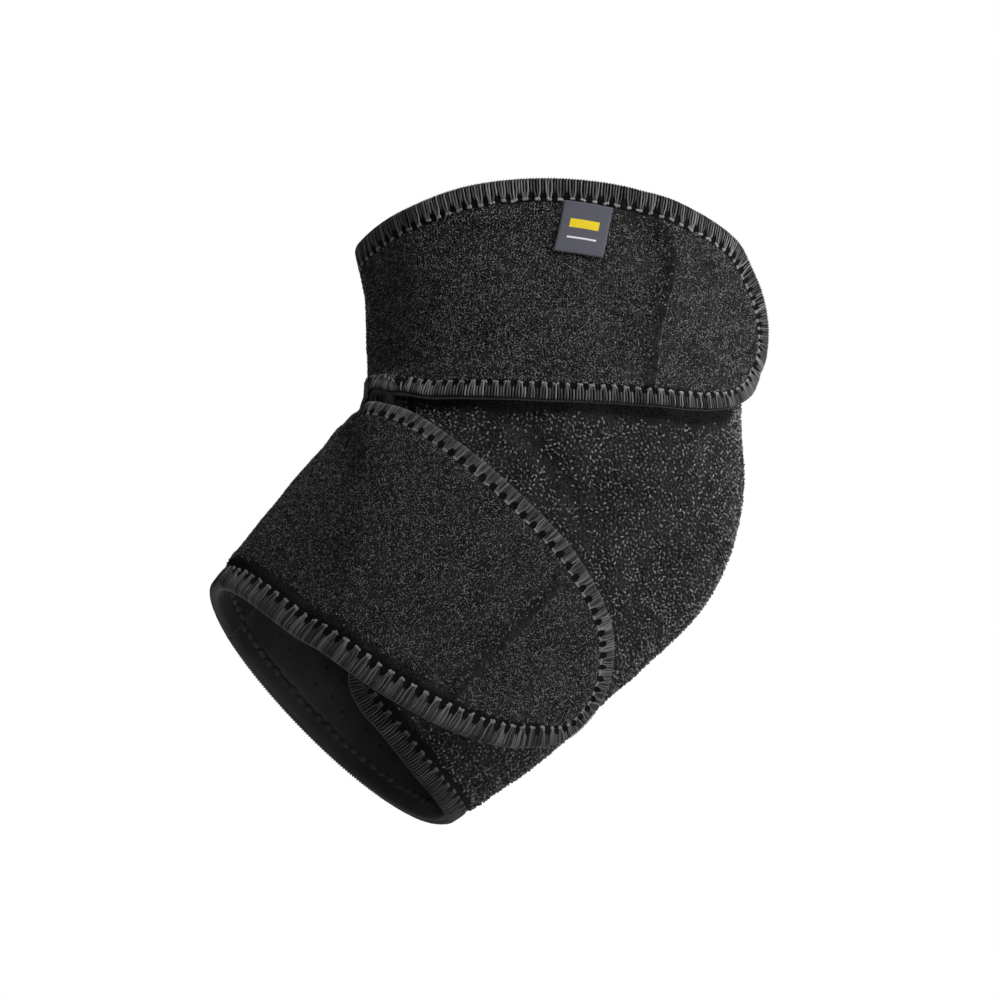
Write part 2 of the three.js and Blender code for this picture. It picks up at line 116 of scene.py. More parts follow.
def arm_point(angle, station, lift):
    """Points on the wrapped arm: angle round it, station along it, lift out from the hollow."""
    angle, station, lift = np.broadcast_arrays(angle * 1.0, station * 1.0, lift * 1.0)
    front, back, side = np.moveaxis(section_at(station), -1, 0)
    theta = np.radians(angle)
    depth = np.where(np.cos(theta) > 0, back, front)
    normal = np.stack([side * np.cos(theta), depth * np.sin(theta)])
    normal = normal / np.linalg.norm(normal, axis=0)
    bent = np.clip(station, 0, BEND_LENGTH)
    turn = bent / BEND_RADIUS
    none = np.zeros_like(turn)
    outward = np.stack([np.cos(turn), none, -np.sin(turn)], -1)
    along = np.stack([-np.sin(turn), none, -np.cos(turn)], -1)
    reach = BEND_RADIUS + depth * np.cos(theta) + lift * normal[0]
    point = BEND_PIVOT + outward * reach[..., None] + along * (station - bent)[..., None]
    point[..., 1] += side * np.sin(theta) + lift * normal[1]
    return point


def smooth_curve(knots, steps):
    """A smooth curve through the knots, with its bends eased by the distance between them."""
    ends = [2 * knots[0] - knots[1], 2 * knots[-1] - knots[-2]]
    knots = np.vstack([ends[0], knots, ends[1]])
    gaps = np.linalg.norm(np.diff(knots, axis=0), axis=1) ** 0.5
    pieces = []
    for k in range(1, len(knots) - 2):
        (p0, p1, p2, p3), (g0, g1, g2) = knots[k - 1 : k + 3], gaps[k - 1 : k + 2]
        start = g1 * ((p1 - p0) / g0 - (p2 - p0) / (g0 + g1) + (p2 - p1) / g1)
        end = g1 * ((p2 - p1) / g1 - (p3 - p1) / (g1 + g2) + (p3 - p2) / g2)
        u = np.linspace(0, 1, steps, endpoint=k == len(knots) - 3)[:, None]
        bend = (2 * p1 - 2 * p2 + start + end) * u + (3 * p2 - 3 * p1 - 2 * start - end)
        pieces.append(p1 + start * u + bend * u * u)
    return np.vstack(pieces)


class Sheet:
    """A cloth sheet on the arm: its outline, and ribs that run from the edge to a spine."""

    def __init__(self, outline, spine, seam_angle, lift, narrowing):
        self.lift = lift
        self.narrowing = narrowing
        self.seam_angle = seam_angle
        self.spine = [station_of(*spine[0]), station_of(*spine[1])]
        self.end_angle = spine[2]
        knots = np.array([(row[0] * CHART_PER_DEGREE, station_of(*row[1:])) for row in outline])
        curve = smooth_curve(knots, 160)
        self.angle = curve[:, 0] / CHART_PER_DEGREE
        self.station = curve[:, 1]
        steps = np.linalg.norm(np.diff(self.middle(self.angle, self.station), axis=0), axis=1)
        self.length = np.concatenate([[0], np.cumsum(steps)])
        past = (self.angle - self.end_angle) * (self.end_angle - seam_angle) > 0
        self.out_run, self.back_run = self.length[past][[0, -1]]

    def middle(self, angle, station):
        return arm_point(angle, station, self.lift(angle, station) + WALL / 2)

    def ribs(self, step, round_step):
        """Ribs along the outward edge, round the end and back: (length along the edge, share)."""
        total = self.length[-1]
        side = np.linspace(0, 1, round(max(self.out_run, total - self.back_run) / step) + 1)
        end = np.linspace(0, 1, round((self.back_run - self.out_run) / round_step) + 1)[1:-1]
        length = [self.out_run * side, self.out_run + (self.back_run - self.out_run) * end]
        length.append((total + (self.back_run - total) * side)[::-1])
        share = np.concatenate([side, np.ones(len(end)), side[::-1]])
        return Ribs(self, np.concatenate(length), share)


# Distances in from the edge. The outer face is slimmed where the threads wrap it, and its pile
# rises again past them. Inside, the edge is a smooth pressed band that ends in a groove.
NOSE_WIDTH = 3.4
EDGING_WIDTH = 6.6
SHOULDER = 7.3
PILE_FROM = 7.6
INNER_FROM = 9.8
HOLES_FROM = 12
BAND_HALF = 2.05
SLIM_HALF = 1.42


def drawn_in(inset, narrow):
    """A distance in from the edge, where the band past the nose is narrowed by a factor."""
    inset = np.asarray(inset, float)
    return inset - (np.clip(inset, NOSE_WIDTH, INNER_FROM) - NOSE_WIDTH) * (1 - narrow)


class Ribs:
    """Curves from the sheet's edge, square to it, to their feet on the spine."""

    def __init__(self, sheet, length, share):
        self.sheet = sheet
        self.share = share
        edge = [np.interp(length, sheet.length, values) for values in (sheet.angle, sheet.station)]
        run = [
            np.interp(length, sheet.length, np.gradient(values, sheet.length))
            for values in (sheet.angle, sheet.station)
        ]
        foot = [
            sheet.seam_angle + (sheet.end_angle - sheet.seam_angle) * share,
            sheet.spine[0] + (sheet.spine[1] - sheet.spine[0]) * share,
        ]
        here = sheet.middle(*edge)
        nudge = 0.5
        scale = [
            np.linalg.norm(sheet.middle(edge[0] + nudge, edge[1]) - here, axis=1) / nudge,
            np.linalg.norm(sheet.middle(edge[0], edge[1] + nudge) - here, axis=1) / nudge,
        ]
        to_foot = [(foot[k] - edge[k]) * scale[k] for k in range(2)]
        inward = np.stack([-run[1] * scale[1], run[0] * scale[0]])
        inward /= np.linalg.norm(inward, axis=0)
        inward *= np.where((inward * np.array(to_foot)).sum(0) < 0, -1, 1)
        half = np.linalg.norm(to_foot, axis=0) / 2
        lead = np.where(share > 0, inward * half, np.array(to_foot) / 2)
        self.curve = np.stack([edge, [edge[k] + lead[k] / scale[k] for k in range(2)], foot])
        self.steps = np.linspace(0, 1, 49)
        points = sheet.middle(*self.at(np.tile(self.steps, (len(length), 1))))
        gaps = np.linalg.norm(np.diff(points, axis=1), axis=2)
        self.inset = np.concatenate([np.zeros((len(length), 1)), np.cumsum(gaps, axis=1)], axis=1)
        self.narrow = sheet.narrowing(edge[1])

    def at(self, share):
        """Angles and stations at shares of the ribs, one row of shares for each rib."""
        a, b, c = (self.curve[k][:, :, None] for k in range(3))
        return (1 - share) ** 2 * a + 2 * share * (1 - share) * b + share**2 * c

    def share_at(self, insets):
        """Shares of each rib at distances in from the edge, closer where the band is narrow."""
        rows = []
        for row, narrow in zip(self.inset, self.narrow):
            rows.append(np.interp(drawn_in(insets, narrow), row, self.steps))
        return np.array(rows)

    def inset_at(self, shares):
        """The distances for which share_at gives these shares."""
        wide = np.arange(0, 200, 0.1)
        rows = []
        for share, row, narrow in zip(shares, self.inset, self.narrow):
            rows.append(np.interp(np.interp(share, self.steps, row), drawn_in(wide, narrow), wide))
        return np.array(rows)


# The nose's turns, in degrees from straight out of the face; the lining starts at the fourth
NOSE_TURNS = (90, 60, 35, 15, -5, -25, -55, -90)
LINING_TURN = 3
# Distance in from the edge and half thickness on the lining's side, with the groove at 6.6
LINING_EDGE = (
    (NOSE_WIDTH, 1.75),
    (5.0, 1.75),
    (6.1, 1.72),
    (EDGING_WIDTH, 1.4),
    (7.2, 1.6),
    (8.2, 1.75),
    (INNER_FROM, 1.75),
)


def cloth_steps(rings, lining_rings):
    """A rib's section as rows (share of the inner stretch, inset, height), and the nose's row."""
    inner = [(1 - k / rings, None, WALL / 2) for k in range(rings)]
    near = [(None, inset, WALL / 2) for inset in (INNER_FROM, 9.3, 8.8, 8.3, 7.8, SHOULDER)]
    band = [(None, inset, SLIM_HALF) for inset in (EDGING_WIDTH, 5.0, NOSE_WIDTH)]
    nose = []
    for turn in NOSE_TURNS:
        half = SLIM_HALF + (WALL / 2 - SLIM_HALF) * min(max((35 - turn) / 40, 0), 1)
        turn = math.radians(turn)
        nose.append((None, BAND_HALF - half * math.cos(turn), half * math.sin(turn)))
    edge = [(None, inset, -height) for inset, height in LINING_EDGE]
    back = [(1 - k / lining_rings, None, -WALL / 2) for k in range(lining_rings)]
    outer = inner + near + band
    return outer + nose + edge + back[::-1], len(outer)


def keep_values(mesh, label, values, kind="FLOAT"):
    """Stores a number or a direction for each point of a mesh."""
    made = mesh.attributes.new(label, kind, "POINT")
    field = "value" if kind == "FLOAT" else "vector"
    made.data.foreach_set(field, np.asarray(values, np.float32).ravel())


def make_object(name, points, faces, materials, kinds=None, attributes=None):
    """A closed mesh in metres from points in millimetres, its doubles merged, facing outward."""
    mesh = bpy.data.meshes.new(name)
    mesh.from_pydata((np.asarray(points) * MM).tolist(), [], faces)
    for material in materials:
        mesh.materials.append(material)
    if kinds is not None:
        mesh.polygons.foreach_set("material_index", kinds)
    for label, values in (attributes or {}).items():
        keep_values(mesh, label, values)
    work = bmesh.new()
    work.from_mesh(mesh)
    bmesh.ops.remove_doubles(work, verts=work.verts, dist=1e-6)
    bmesh.ops.dissolve_degenerate(work, edges=work.edges, dist=1e-7)
    bmesh.ops.recalc_face_normals(work, faces=work.faces)
    work.to_mesh(mesh)
    work.free()
    mesh.polygons.foreach_set("use_smooth", [True] * len(mesh.polygons))
    made = bpy.data.objects.new(name, mesh)
    bpy.context.scene.collection.objects.link(made)
    return made


def wall_faces(rows, count):
    """Faces of a closed wall made of rows of points, each once round it, and its two ends."""
    corner = (np.arange(rows - 1)[:, None] * count + np.arange(count - 1)).ravel()
    faces = np.stack([corner, corner + 1, corner + 1 + count, corner + count], 1).tolist()
    for start in (0, (rows - 1) * count):
        for j in range((count - 1) // 2):
            faces.append([start + j, start + j + 1, start + count - 2 - j, start + count - 1 - j])
    return faces


def make_cloth(name, sheet, step, rings, lining_rings, relief, materials, pile_share):
    """A sheet's closed wall, with relief on its outer face and the pile's share as an attribute."""
    ribs = sheet.ribs(step, step * 0.7)
    steps, nose_from = cloth_steps(rings, lining_rings)
    count = len(steps)
    share = ribs.share_at([INNER_FROM if row[1] is None else row[1] for row in steps])
    for column, row in enumerate(steps):
        if row[0] is not None:
            share[:, column] += (1 - share[:, column]) * row[0]
    angle, station = ribs.at(share)
    inset = ribs.inset_at(share)
    middle = sheet.middle(angle, station)
    outer = np.arange(count) < nose_from
    height = np.tile([row[2] for row in steps], (len(share), 1))
    height = height + np.where(outer, relief(angle, station, inset, middle), 0)
    points = arm_point(angle, station, sheet.lift(angle, station) + WALL / 2 + height)
    faces = wall_faces(len(share), count)
    lining = np.arange(count - 1) >= nose_from + LINING_TURN
    kinds = np.tile(lining.astype(int), len(share) - 1).tolist()
    kinds += [0] * (len(faces) - len(kinds))
    lined = (np.arange(count) >= nose_from + len(NOSE_TURNS)) & (inset > HOLES_FROM)
    attributes = {
        "pile": np.where(outer, pile_share(angle, station, inset), 0),
        "inset": inset,
        "lined": lined,
        "around": angle * CHART_PER_DEGREE,
        "along": station,
    }
    return make_object(name, points.reshape(-1, 3), faces, materials, kinds, attributes)


def add_node(tree, kind, inputs=None, **settings):
    """A node with its settings; inputs are values or sockets, by name or by place."""
    made = tree.nodes.new(kind)
    for label, value in settings.items():
        setattr(made, label, value)
    for key, value in (inputs or {}).items():
        if isinstance(value, bpy.types.NodeSocket):
            tree.links.new(value, made.inputs[key])
        else:
            made.inputs[key].default_value = value
    return made


def calc(tree, operation, *values):
    """The result of a Math node."""
    kind = "ShaderNodeMath"
    return add_node(tree, kind, dict(enumerate(values)), operation=operation).outputs[0]


def new_material(name, roughness, **sockets):
    """A material with its own shader sockets set; returns the material, its tree and shader."""
    material = bpy.data.materials.new(name)
    material.use_nodes = True
    tree = material.node_tree
    shader = tree.nodes["Principled BSDF"]
    shader.inputs["Roughness"].default_value = roughness
    for label, value in sockets.items():
        shader.inputs[label.replace("_", " ")].default_value = value
    return material, tree, shader


def noise_at(tree, size, detail=2.0, roughness=0.5):
    """Noise with features of about the given size in millimetres, on Object coordinates."""
    place = add_node(tree, "ShaderNodeTexCoord").outputs["Object"]
    inputs = {"Vector": place, "Scale": 1 / (size * MM), "Detail": detail, "Roughness": roughness}
    return add_node(tree, "ShaderNodeTexNoise", inputs).outputs["Fac"]


def blend_colour(tree, share, low, high, dark, light):
    """A colour between dark and light as the share goes from low to high."""
    ramp = add_node(tree, "ShaderNodeValToRGB", {"Fac": share})
    ramp.color_ramp.elements[0].position = low
    ramp.color_ramp.elements[0].color = (*dark, 1)
    ramp.color_ramp.elements[1].position = high
    ramp.color_ramp.elements[1].color = (*light, 1)
    return ramp.outputs["Color"]


def bump(tree, shader, height, strength, depth):
    """Relief of the given depth in millimetres on a shader."""
    inputs = {"Height": height, "Strength": strength, "Distance": depth * MM}
    made = add_node(tree, "ShaderNodeBump", inputs)
    tree.links.new(made.outputs["Normal"], shader.inputs["Normal"])


def own_value(tree, label):
    """A value that the mesh carries at its points."""
    return add_node(tree, "ShaderNodeAttribute", attribute_name=label).outputs["Fac"]


def pile_ground():
    """Short pile between the loops, matt black and mottled; painted shade by the threads."""
    material, tree, shader = new_material("pile_ground", 0.95, Sheen_Weight=0.03)
    shader.inputs["Specular IOR Level"].default_value = 0.1
    grain = noise_at(tree, 0.45, 3.0, 0.7)
    patch = calc(tree, "MULTIPLY", noise_at(tree, 9.0), 0.2)
    share = calc(tree, "ADD", calc(tree, "MULTIPLY", grain, 0.8), patch)
    colour = blend_colour(tree, share, 0.43, 0.62, (0.001, 0.001, 0.0011), (0.04, 0.04, 0.041))
    # Painted shade: the ground is darkened towards the threads, where the groove beside them lies
    # in shade
    inputs = {"Value": own_value(tree, "inset"), "From Min": 7.4, "From Max": 8.8, "To Min": 0.25}
    shade = add_node(tree, "ShaderNodeMapRange", inputs).outputs[0]
    inputs = {0: 1.0, 6: colour, 7: shade}
    mixed = add_node(tree, "ShaderNodeMix", inputs, data_type="RGBA", blend_type="MULTIPLY")
    tree.links.new(mixed.outputs[2], shader.inputs["Base Color"])
    bump(tree, shader, grain, 1.0, 0.5)
    return material


HOLE_SPACING = 5.6


def lining_finish():
    """Smooth knitted lining, dark grey with a slight blue, with small air holes in even rows."""
    material, tree, shader = new_material("lining", 0.6, Sheen_Weight=0.15)
    patch = noise_at(tree, 9.0, 3.0)
    colour = blend_colour(tree, patch, 0.3, 0.75, (0.014, 0.0145, 0.0165), (0.026, 0.027, 0.032))
    place = {0: own_value(tree, "around"), 1: own_value(tree, "along")}
    chart = add_node(tree, "ShaderNodeCombineXYZ", place).outputs[0]
    inputs = {"Vector": chart, "Scale": 1 / HOLE_SPACING, "Randomness": 0.35}
    holes = add_node(tree, "ShaderNodeTexVoronoi", inputs, voronoi_dimensions="2D")
    inputs = {"Value": holes.outputs["Distance"], "From Min": 0.085, "From Max": 0.125}
    inputs.update({"To Min": 1.0, "To Max": 0.0})
    hole = add_node(tree, "ShaderNodeMapRange", inputs).outputs[0]
    hole = calc(tree, "MULTIPLY", hole, own_value(tree, "lined"))
    inputs = {0: hole, 6: colour, 7: (0.001, 0.001, 0.001, 1)}
    mixed = add_node(tree, "ShaderNodeMix", inputs, data_type="RGBA")
    tree.links.new(mixed.outputs[2], shader.inputs["Base Color"])
    knit = calc(tree, "MULTIPLY", noise_at(tree, 0.35, 1.0), 0.25)
    bump(tree, shader, calc(tree, "SUBTRACT", knit, hole), 0.5, 0.4)
    return material


PILE_GROUND = pile_ground()
LINING = lining_finish()

SEAM_ANGLE = 140
SEAM_GAP = 0.06
BASE_SEAM_ANGLE = 360 + SEAM_ANGLE

BASE_FREE_EDGE = [
    (194, "up", 0.54),
    (194, "up", 0.17),
    (198, "bend", 0.55),
    (207, "bend", 1),
    (236, "down", 0.28),
    (256, "down", 0.61),
    (265, "down", 0.81),
    (270, "down", 0.905),
]

BASE_OUTLINE = [
    (BASE_SEAM_ANGLE, "up", 0.84),
    (460, "up", 0.88),
    (420, "up", 0.8),
    (385, "up", 0.65),
    (360, "up", 0.59),
    (335, "up", 0.65),
    (305, "up", 0.78),
    (280, "up", 0.83),
    (250, "up", 0.84),
    (222, "up", 0.8),
    (203, "up", 0.71),
    *BASE_FREE_EDGE,
    (276, "down", 0.968),
    (284, "down", 0.992),
    (296, "down", 0.99),
    (314, "down", 0.983),
    (337, "down", 0.952),
    (362, "down", 0.918),
    (390, "down", 0.935),
    (430, "down", 0.953),
    (465, "down", 0.957),
    (BASE_SEAM_ANGLE, "down", 0.958),
]
BASE_SPINE = (("bend", 0.8), ("bend", 0.7), 234)

UPPER_OUTLINE = [
    (SEAM_ANGLE + SEAM_GAP, "up", 0.84),
    (186, "up", 0.834),
    (212.6, "up", 0.906),
    (237.8, "up", 0.992),
    (261, "up", 1.013),
    (283.4, "up", 0.978),
    (304.8, "up", 0.878),
    (316.6, "up", 0.782),
    (323.4, "up", 0.635),
    (329.8, "up", 0.478),
    (334, "up", 0.304),
    (334, "up", 0.107),
    (328.3, "bend", 0.057),
    (320.8, "bend", 0.132),
    (312, "bend", 0.18),
    (303, "bend", 0.216),
    (279.5, "bend", 0.302),
    (258, "bend", 0.433),
    (247, "bend", 0.524),
    (236, "bend", 0.665),
    (224, "bend", 0.89),
    (213, "down", 0.013),
    (198, "down", 0.027),
    (180, "down", 0.034),
    (SEAM_ANGLE + SEAM_GAP, "down", 0.04),
]
UPPER_SPINE = (("up", 0.38), ("up", 0.32), 309)

LOWER_OUTLINE = [
    (SEAM_ANGLE + SEAM_GAP, "down", 0.075),
    (180, "down", 0.074),
    (204, "down", 0.07),
    (214, "down", 0.061),
    (224, "down", 0.041),
    (237, "down", 0.03),
    (253, "down", 0.021),
    (268, "down", 0.013),
    (283, "down", 0.006),
    (296.5, "down", 0.019),
    (306, "down", 0.037),
    (315, "down", 0.07),
    (323, "down", 0.13),
    (329.3, "down", 0.21),
    (333, "down", 0.3),
    (334.1, "down", 0.414),
    (332.4, "down", 0.505),
    (327.5, "down", 0.594),
    (320.5, "down", 0.688),
    (307, "down", 0.799),
    (291, "down", 0.887),
    (275, "down", 0.941),
    (258, "down", 0.97),
    (237, "down", 0.98),
    (210, "down", 0.969),
    (180, "down", 0.959),
    (SEAM_ANGLE + SEAM_GAP, "down", 0.958),
]
LOWER_SPINE = (("down", 0.52), ("down", 0.42), 307)


def smooth_step(value, span):
    """From 0 to 1 as the value goes from 0 to the span, with eased ends."""
    u = np.clip(value / span, 0, 1)
    return u * u * (3 - 2 * u)


# How far a strap rises, and the degrees before the edge or tab, and over which, each rise comes
PANEL_RISE, PANEL_BEFORE, PANEL_SPAN = 4.8, 25, 20
HOOK_RISE, HOOK_BEFORE, HOOK_SPAN = 1.2, 26, 9
FLARE_BEFORE, FLARE_SPAN = 12, 42


def strap_lift(tab_angle, flare):
    """A strap's rise over the panel's free edge, over the hook patch, and off the arm."""
    places = [station_of(*row[1:]) for row in BASE_FREE_EDGE]
    angles = [row[0] for row in BASE_FREE_EDGE]

    def lift(angle, station):
        past_edge = angle - np.interp(station, places, angles)
        over_panel = smooth_step(past_edge + PANEL_BEFORE, PANEL_SPAN)
        over_hook = smooth_step(angle - tab_angle + HOOK_BEFORE, HOOK_SPAN)
        off_arm = np.maximum(0, (angle - tab_angle + FLARE_BEFORE) / FLARE_SPAN) ** 2
        return PANEL_RISE * over_panel + HOOK_RISE * over_hook + flare * off_arm

    return lift


def narrow_along(start, end, before, after):
    """The band's narrowing along an edge, which changes between two stations."""
    return lambda station: before + (after - before) * smooth_step(station - start, end - start)


BASE_SHEET = Sheet(
    BASE_OUTLINE,
    BASE_SPINE,
    BASE_SEAM_ANGLE,
    lambda angle, station: 0 * angle,
    lambda station: 1 + 0 * station,
)
UPPER_SHEET = Sheet(
    UPPER_OUTLINE,
    UPPER_SPINE,
    SEAM_ANGLE + SEAM_GAP,
    strap_lift(309, 5.7),
    narrow_along(-14, 0, 1, 0.45),
)
LOWER_SHEET = Sheet(
    LOWER_OUTLINE,
    LOWER_SPINE,
    SEAM_ANGLE + SEAM_GAP,
    strap_lift(307, 3.9),
    narrow_along(78, 98, 0.55, 1),
)


def inside(sheet, angle, station):
    """Whether places on the chart lie inside a sheet's outline."""
    found = np.zeros(np.shape(angle), bool)
    ring = np.stack([sheet.angle, sheet.station], 1)[::12]
    for (a0, s0), (a1, s1) in zip(ring, np.roll(ring, -1, axis=0)):
        if s0 != s1:
            crosses = (s0 > station) != (s1 > station)
            found ^= crosses & (angle < a0 + (a1 - a0) * (station - s0) / (s1 - s0))
    return found


def soft_waves(middle, size, depth):
    """Slow swells of cloth, the same ones each time, as heights in millimetres."""
    flat = middle.reshape(-1, 3) / size
    return np.array([noise.noise(Vector(p)) for p in flat]).reshape(middle.shape[:-1]) * depth


def hump(distance, width):
    """A smooth hump, 1 high at its middle."""
    return np.exp(-((distance / width) ** 2))


def near_edge(inset):
    """The groove that the thread tips press into the cloth, and the swell just inside it."""
    return 0.35 * hump(inset - 11.5, 3.2) - 0.5 * hump(inset - PILE_FROM, 0.8)


PILE_RISE = 0.3
SEAM_CLEAR = 2.6


def from_seam(angle):
    """Distance to the far side's seam, round the arm."""
    return np.minimum(abs(angle - SEAM_ANGLE), abs(BASE_SEAM_ANGLE - angle)) * CHART_PER_DEGREE


def cloth_relief(angle, inset, middle, size, depth):
    """Slow swells past the threads, level along the seam, which the stitches press in."""
    seam = from_seam(angle)
    swell = soft_waves(middle, size, depth) + soft_waves(middle, 5, 0.15)
    raised = swell * smooth_step(seam, 12) - PILE_RISE - 0.45 * hump(seam, 1.8)
    return near_edge(inset) + smooth_step(inset - SHOULDER, 3) * raised


def pile_edge(angle, inset, bare_margin=0):
    """The pile starts past the threads, further in by a margin where one is given, and clear of the
    seam.
    """
    return np.clip((inset - PILE_FROM - bare_margin) / 0.8, 0, 1) * (from_seam(angle) > SEAM_CLEAR)


LINE_STEPS = 40
LINE_FADE = 60


def past_line(sheet, knots):
    """For places on a sheet: distance past a line, to one side, and the line's strength there."""
    knots = np.array([(row[0], station_of(*row[1:])) for row in knots])
    chart = smooth_curve(knots, LINE_STEPS)
    line = sheet.middle(chart[:, 0], chart[:, 1])
    along = np.gradient(line, axis=0)
    out = arm_point(chart[:, 0], chart[:, 1], sheet.lift(chart[:, 0], chart[:, 1]) + 4) - line
    side = np.cross(out, along)
    side /= np.linalg.norm(side, axis=1)[:, None]
    tree = kdtree.KDTree(len(line))
    for k, spot in enumerate(line):
        tree.insert(spot, k)
    tree.balance()

    def past(angle, station):
        points = sheet.middle(angle, station).reshape(-1, 3)
        near = np.array([tree.find(point)[1] for point in points])
        away = ((points - line[near]) * side[near]).sum(1)
        strength = np.minimum(near / LINE_FADE, 1)
        return away.reshape(angle.shape), strength.reshape(angle.shape)

    return past


# A soft fold in the panel, from beside the elbow up to the crook between the straps
BASE_FOLD = [
    (293, "bend", 0.9),
    (282.8, "bend", 0.84),
    (271.6, "bend", 0.755),
    (261.7, "bend", 0.69),
    (249.9, "bend", 0.566),
    (236, "bend", 0.46),
]
FOLD_WIDTH = 3.4
FOLD_DEPTH = 1.1
PAST_FOLD = past_line(BASE_SHEET, BASE_FOLD)


def fold_at(angle, station):
    """How deep in the fold a place is, from 0 to 1."""
    away, strength = PAST_FOLD(angle, station)
    return strength * hump(away, FOLD_WIDTH)


def base_relief(angle, station, inset, middle):
    """The panel's swells and its fold."""
    swells = cloth_relief(angle, inset, middle, size=16, depth=0.7)
    return swells - FOLD_DEPTH * fold_at(angle, station)


# How far past the upper strap's lower edge the panel is left bare of pile, as painted shadow
STRAP_SHADOW = 2.8


def base_pile_share(angle, station, inset):
    """No pile under the straps; painted shadow past the upper one and painted shade in the fold."""
    covered_or_shadowed = inside(UPPER_SHEET, angle, station) | inside(LOWER_SHEET, angle, station)
    # Painted shadow: a band past the upper strap's lower edge is left bare, so the dark ground
    # reads as its shadow
    covered_or_shadowed |= inside(UPPER_SHEET, angle, station - STRAP_SHADOW)
    # Painted shade: the pile is thinned in the fold so that it reads darker
    return pile_edge(angle, inset) * (1 - 0.6 * fold_at(angle, station)) * ~covered_or_shadowed


base_cloth = make_cloth(
    "base_panel_cloth",
    BASE_SHEET,
    step=1.9,
    rings=40,
    lining_rings=26,
    relief=base_relief,
    materials=[PILE_GROUND, LINING],
    pile_share=base_pile_share,
)


def new_tree(name, sizes, whole=()):
    """An empty Geometry Nodes tree with named inputs for its sizes, counts and material."""
    tree = bpy.data.node_groups.new(name, "GeometryNodeTree")
    tree.interface.new_socket("Geometry", in_out="INPUT", socket_type="NodeSocketGeometry")
    for label in sizes:
        tree.interface.new_socket(label, in_out="INPUT", socket_type="NodeSocketFloat")
    for label in whole:
        tree.interface.new_socket(label, in_out="INPUT", socket_type="NodeSocketInt")
    tree.interface.new_socket("Material", in_out="INPUT", socket_type="NodeSocketMaterial")
    tree.interface.new_socket("Geometry", in_out="OUTPUT", socket_type="NodeSocketGeometry")
    return tree, add_node(tree, "NodeGroupInput").outputs


def toned(tree, instances, low, high, seed):
    """Gives each copy a tone of its own."""
    inputs = {2: low, 3: high, "Seed": seed}
    tone = add_node(tree, "FunctionNodeRandomValue", inputs, data_type="FLOAT")
    inputs = {"Geometry": instances, "Name": "tone", "Value": tone.outputs[1]}
    kind = "GeometryNodeStoreNamedAttribute"
    return add_node(tree, kind, inputs, data_type="FLOAT", domain="INSTANCE").outputs[0]


def end_tree(tree, instances, material):
    """All copies become one plain smooth mesh with the material."""
    real = add_node(tree, "GeometryNodeRealizeInstances", {0: instances})
    shaded = add_node(tree, "GeometryNodeSetShadeSmooth", {0: real.outputs[0]})
    inputs = {"Geometry": shaded.outputs[0], "Material": material}
    painted = add_node(tree, "GeometryNodeSetMaterial", inputs)
    add_node(tree, "NodeGroupOutput", {0: painted.outputs[0]})


def grow(name, start, tree, values):
    """Runs a tree on a mesh and keeps the result as a plain mesh object."""
    source = bpy.data.objects.new(name + "_start", start)
    bpy.context.scene.collection.objects.link(source)
    modifier = source.modifiers.new("grow", "NODES")
    modifier.node_group = tree
    for item in tree.interface.items_tree:
        if item.item_type == "SOCKET" and item.in_out == "INPUT" and item.name in values:
            modifier[item.identifier] = values[item.name]
    source.update_tag()
    shown = source.evaluated_get(bpy.context.evaluated_depsgraph_get())
    mesh = bpy.data.meshes.new_from_object(shown)
    mesh.name = name
    bpy.data.objects.remove(source)
    made = bpy.data.objects.new(name, mesh)
    bpy.context.scene.collection.objects.link(made)
    return made


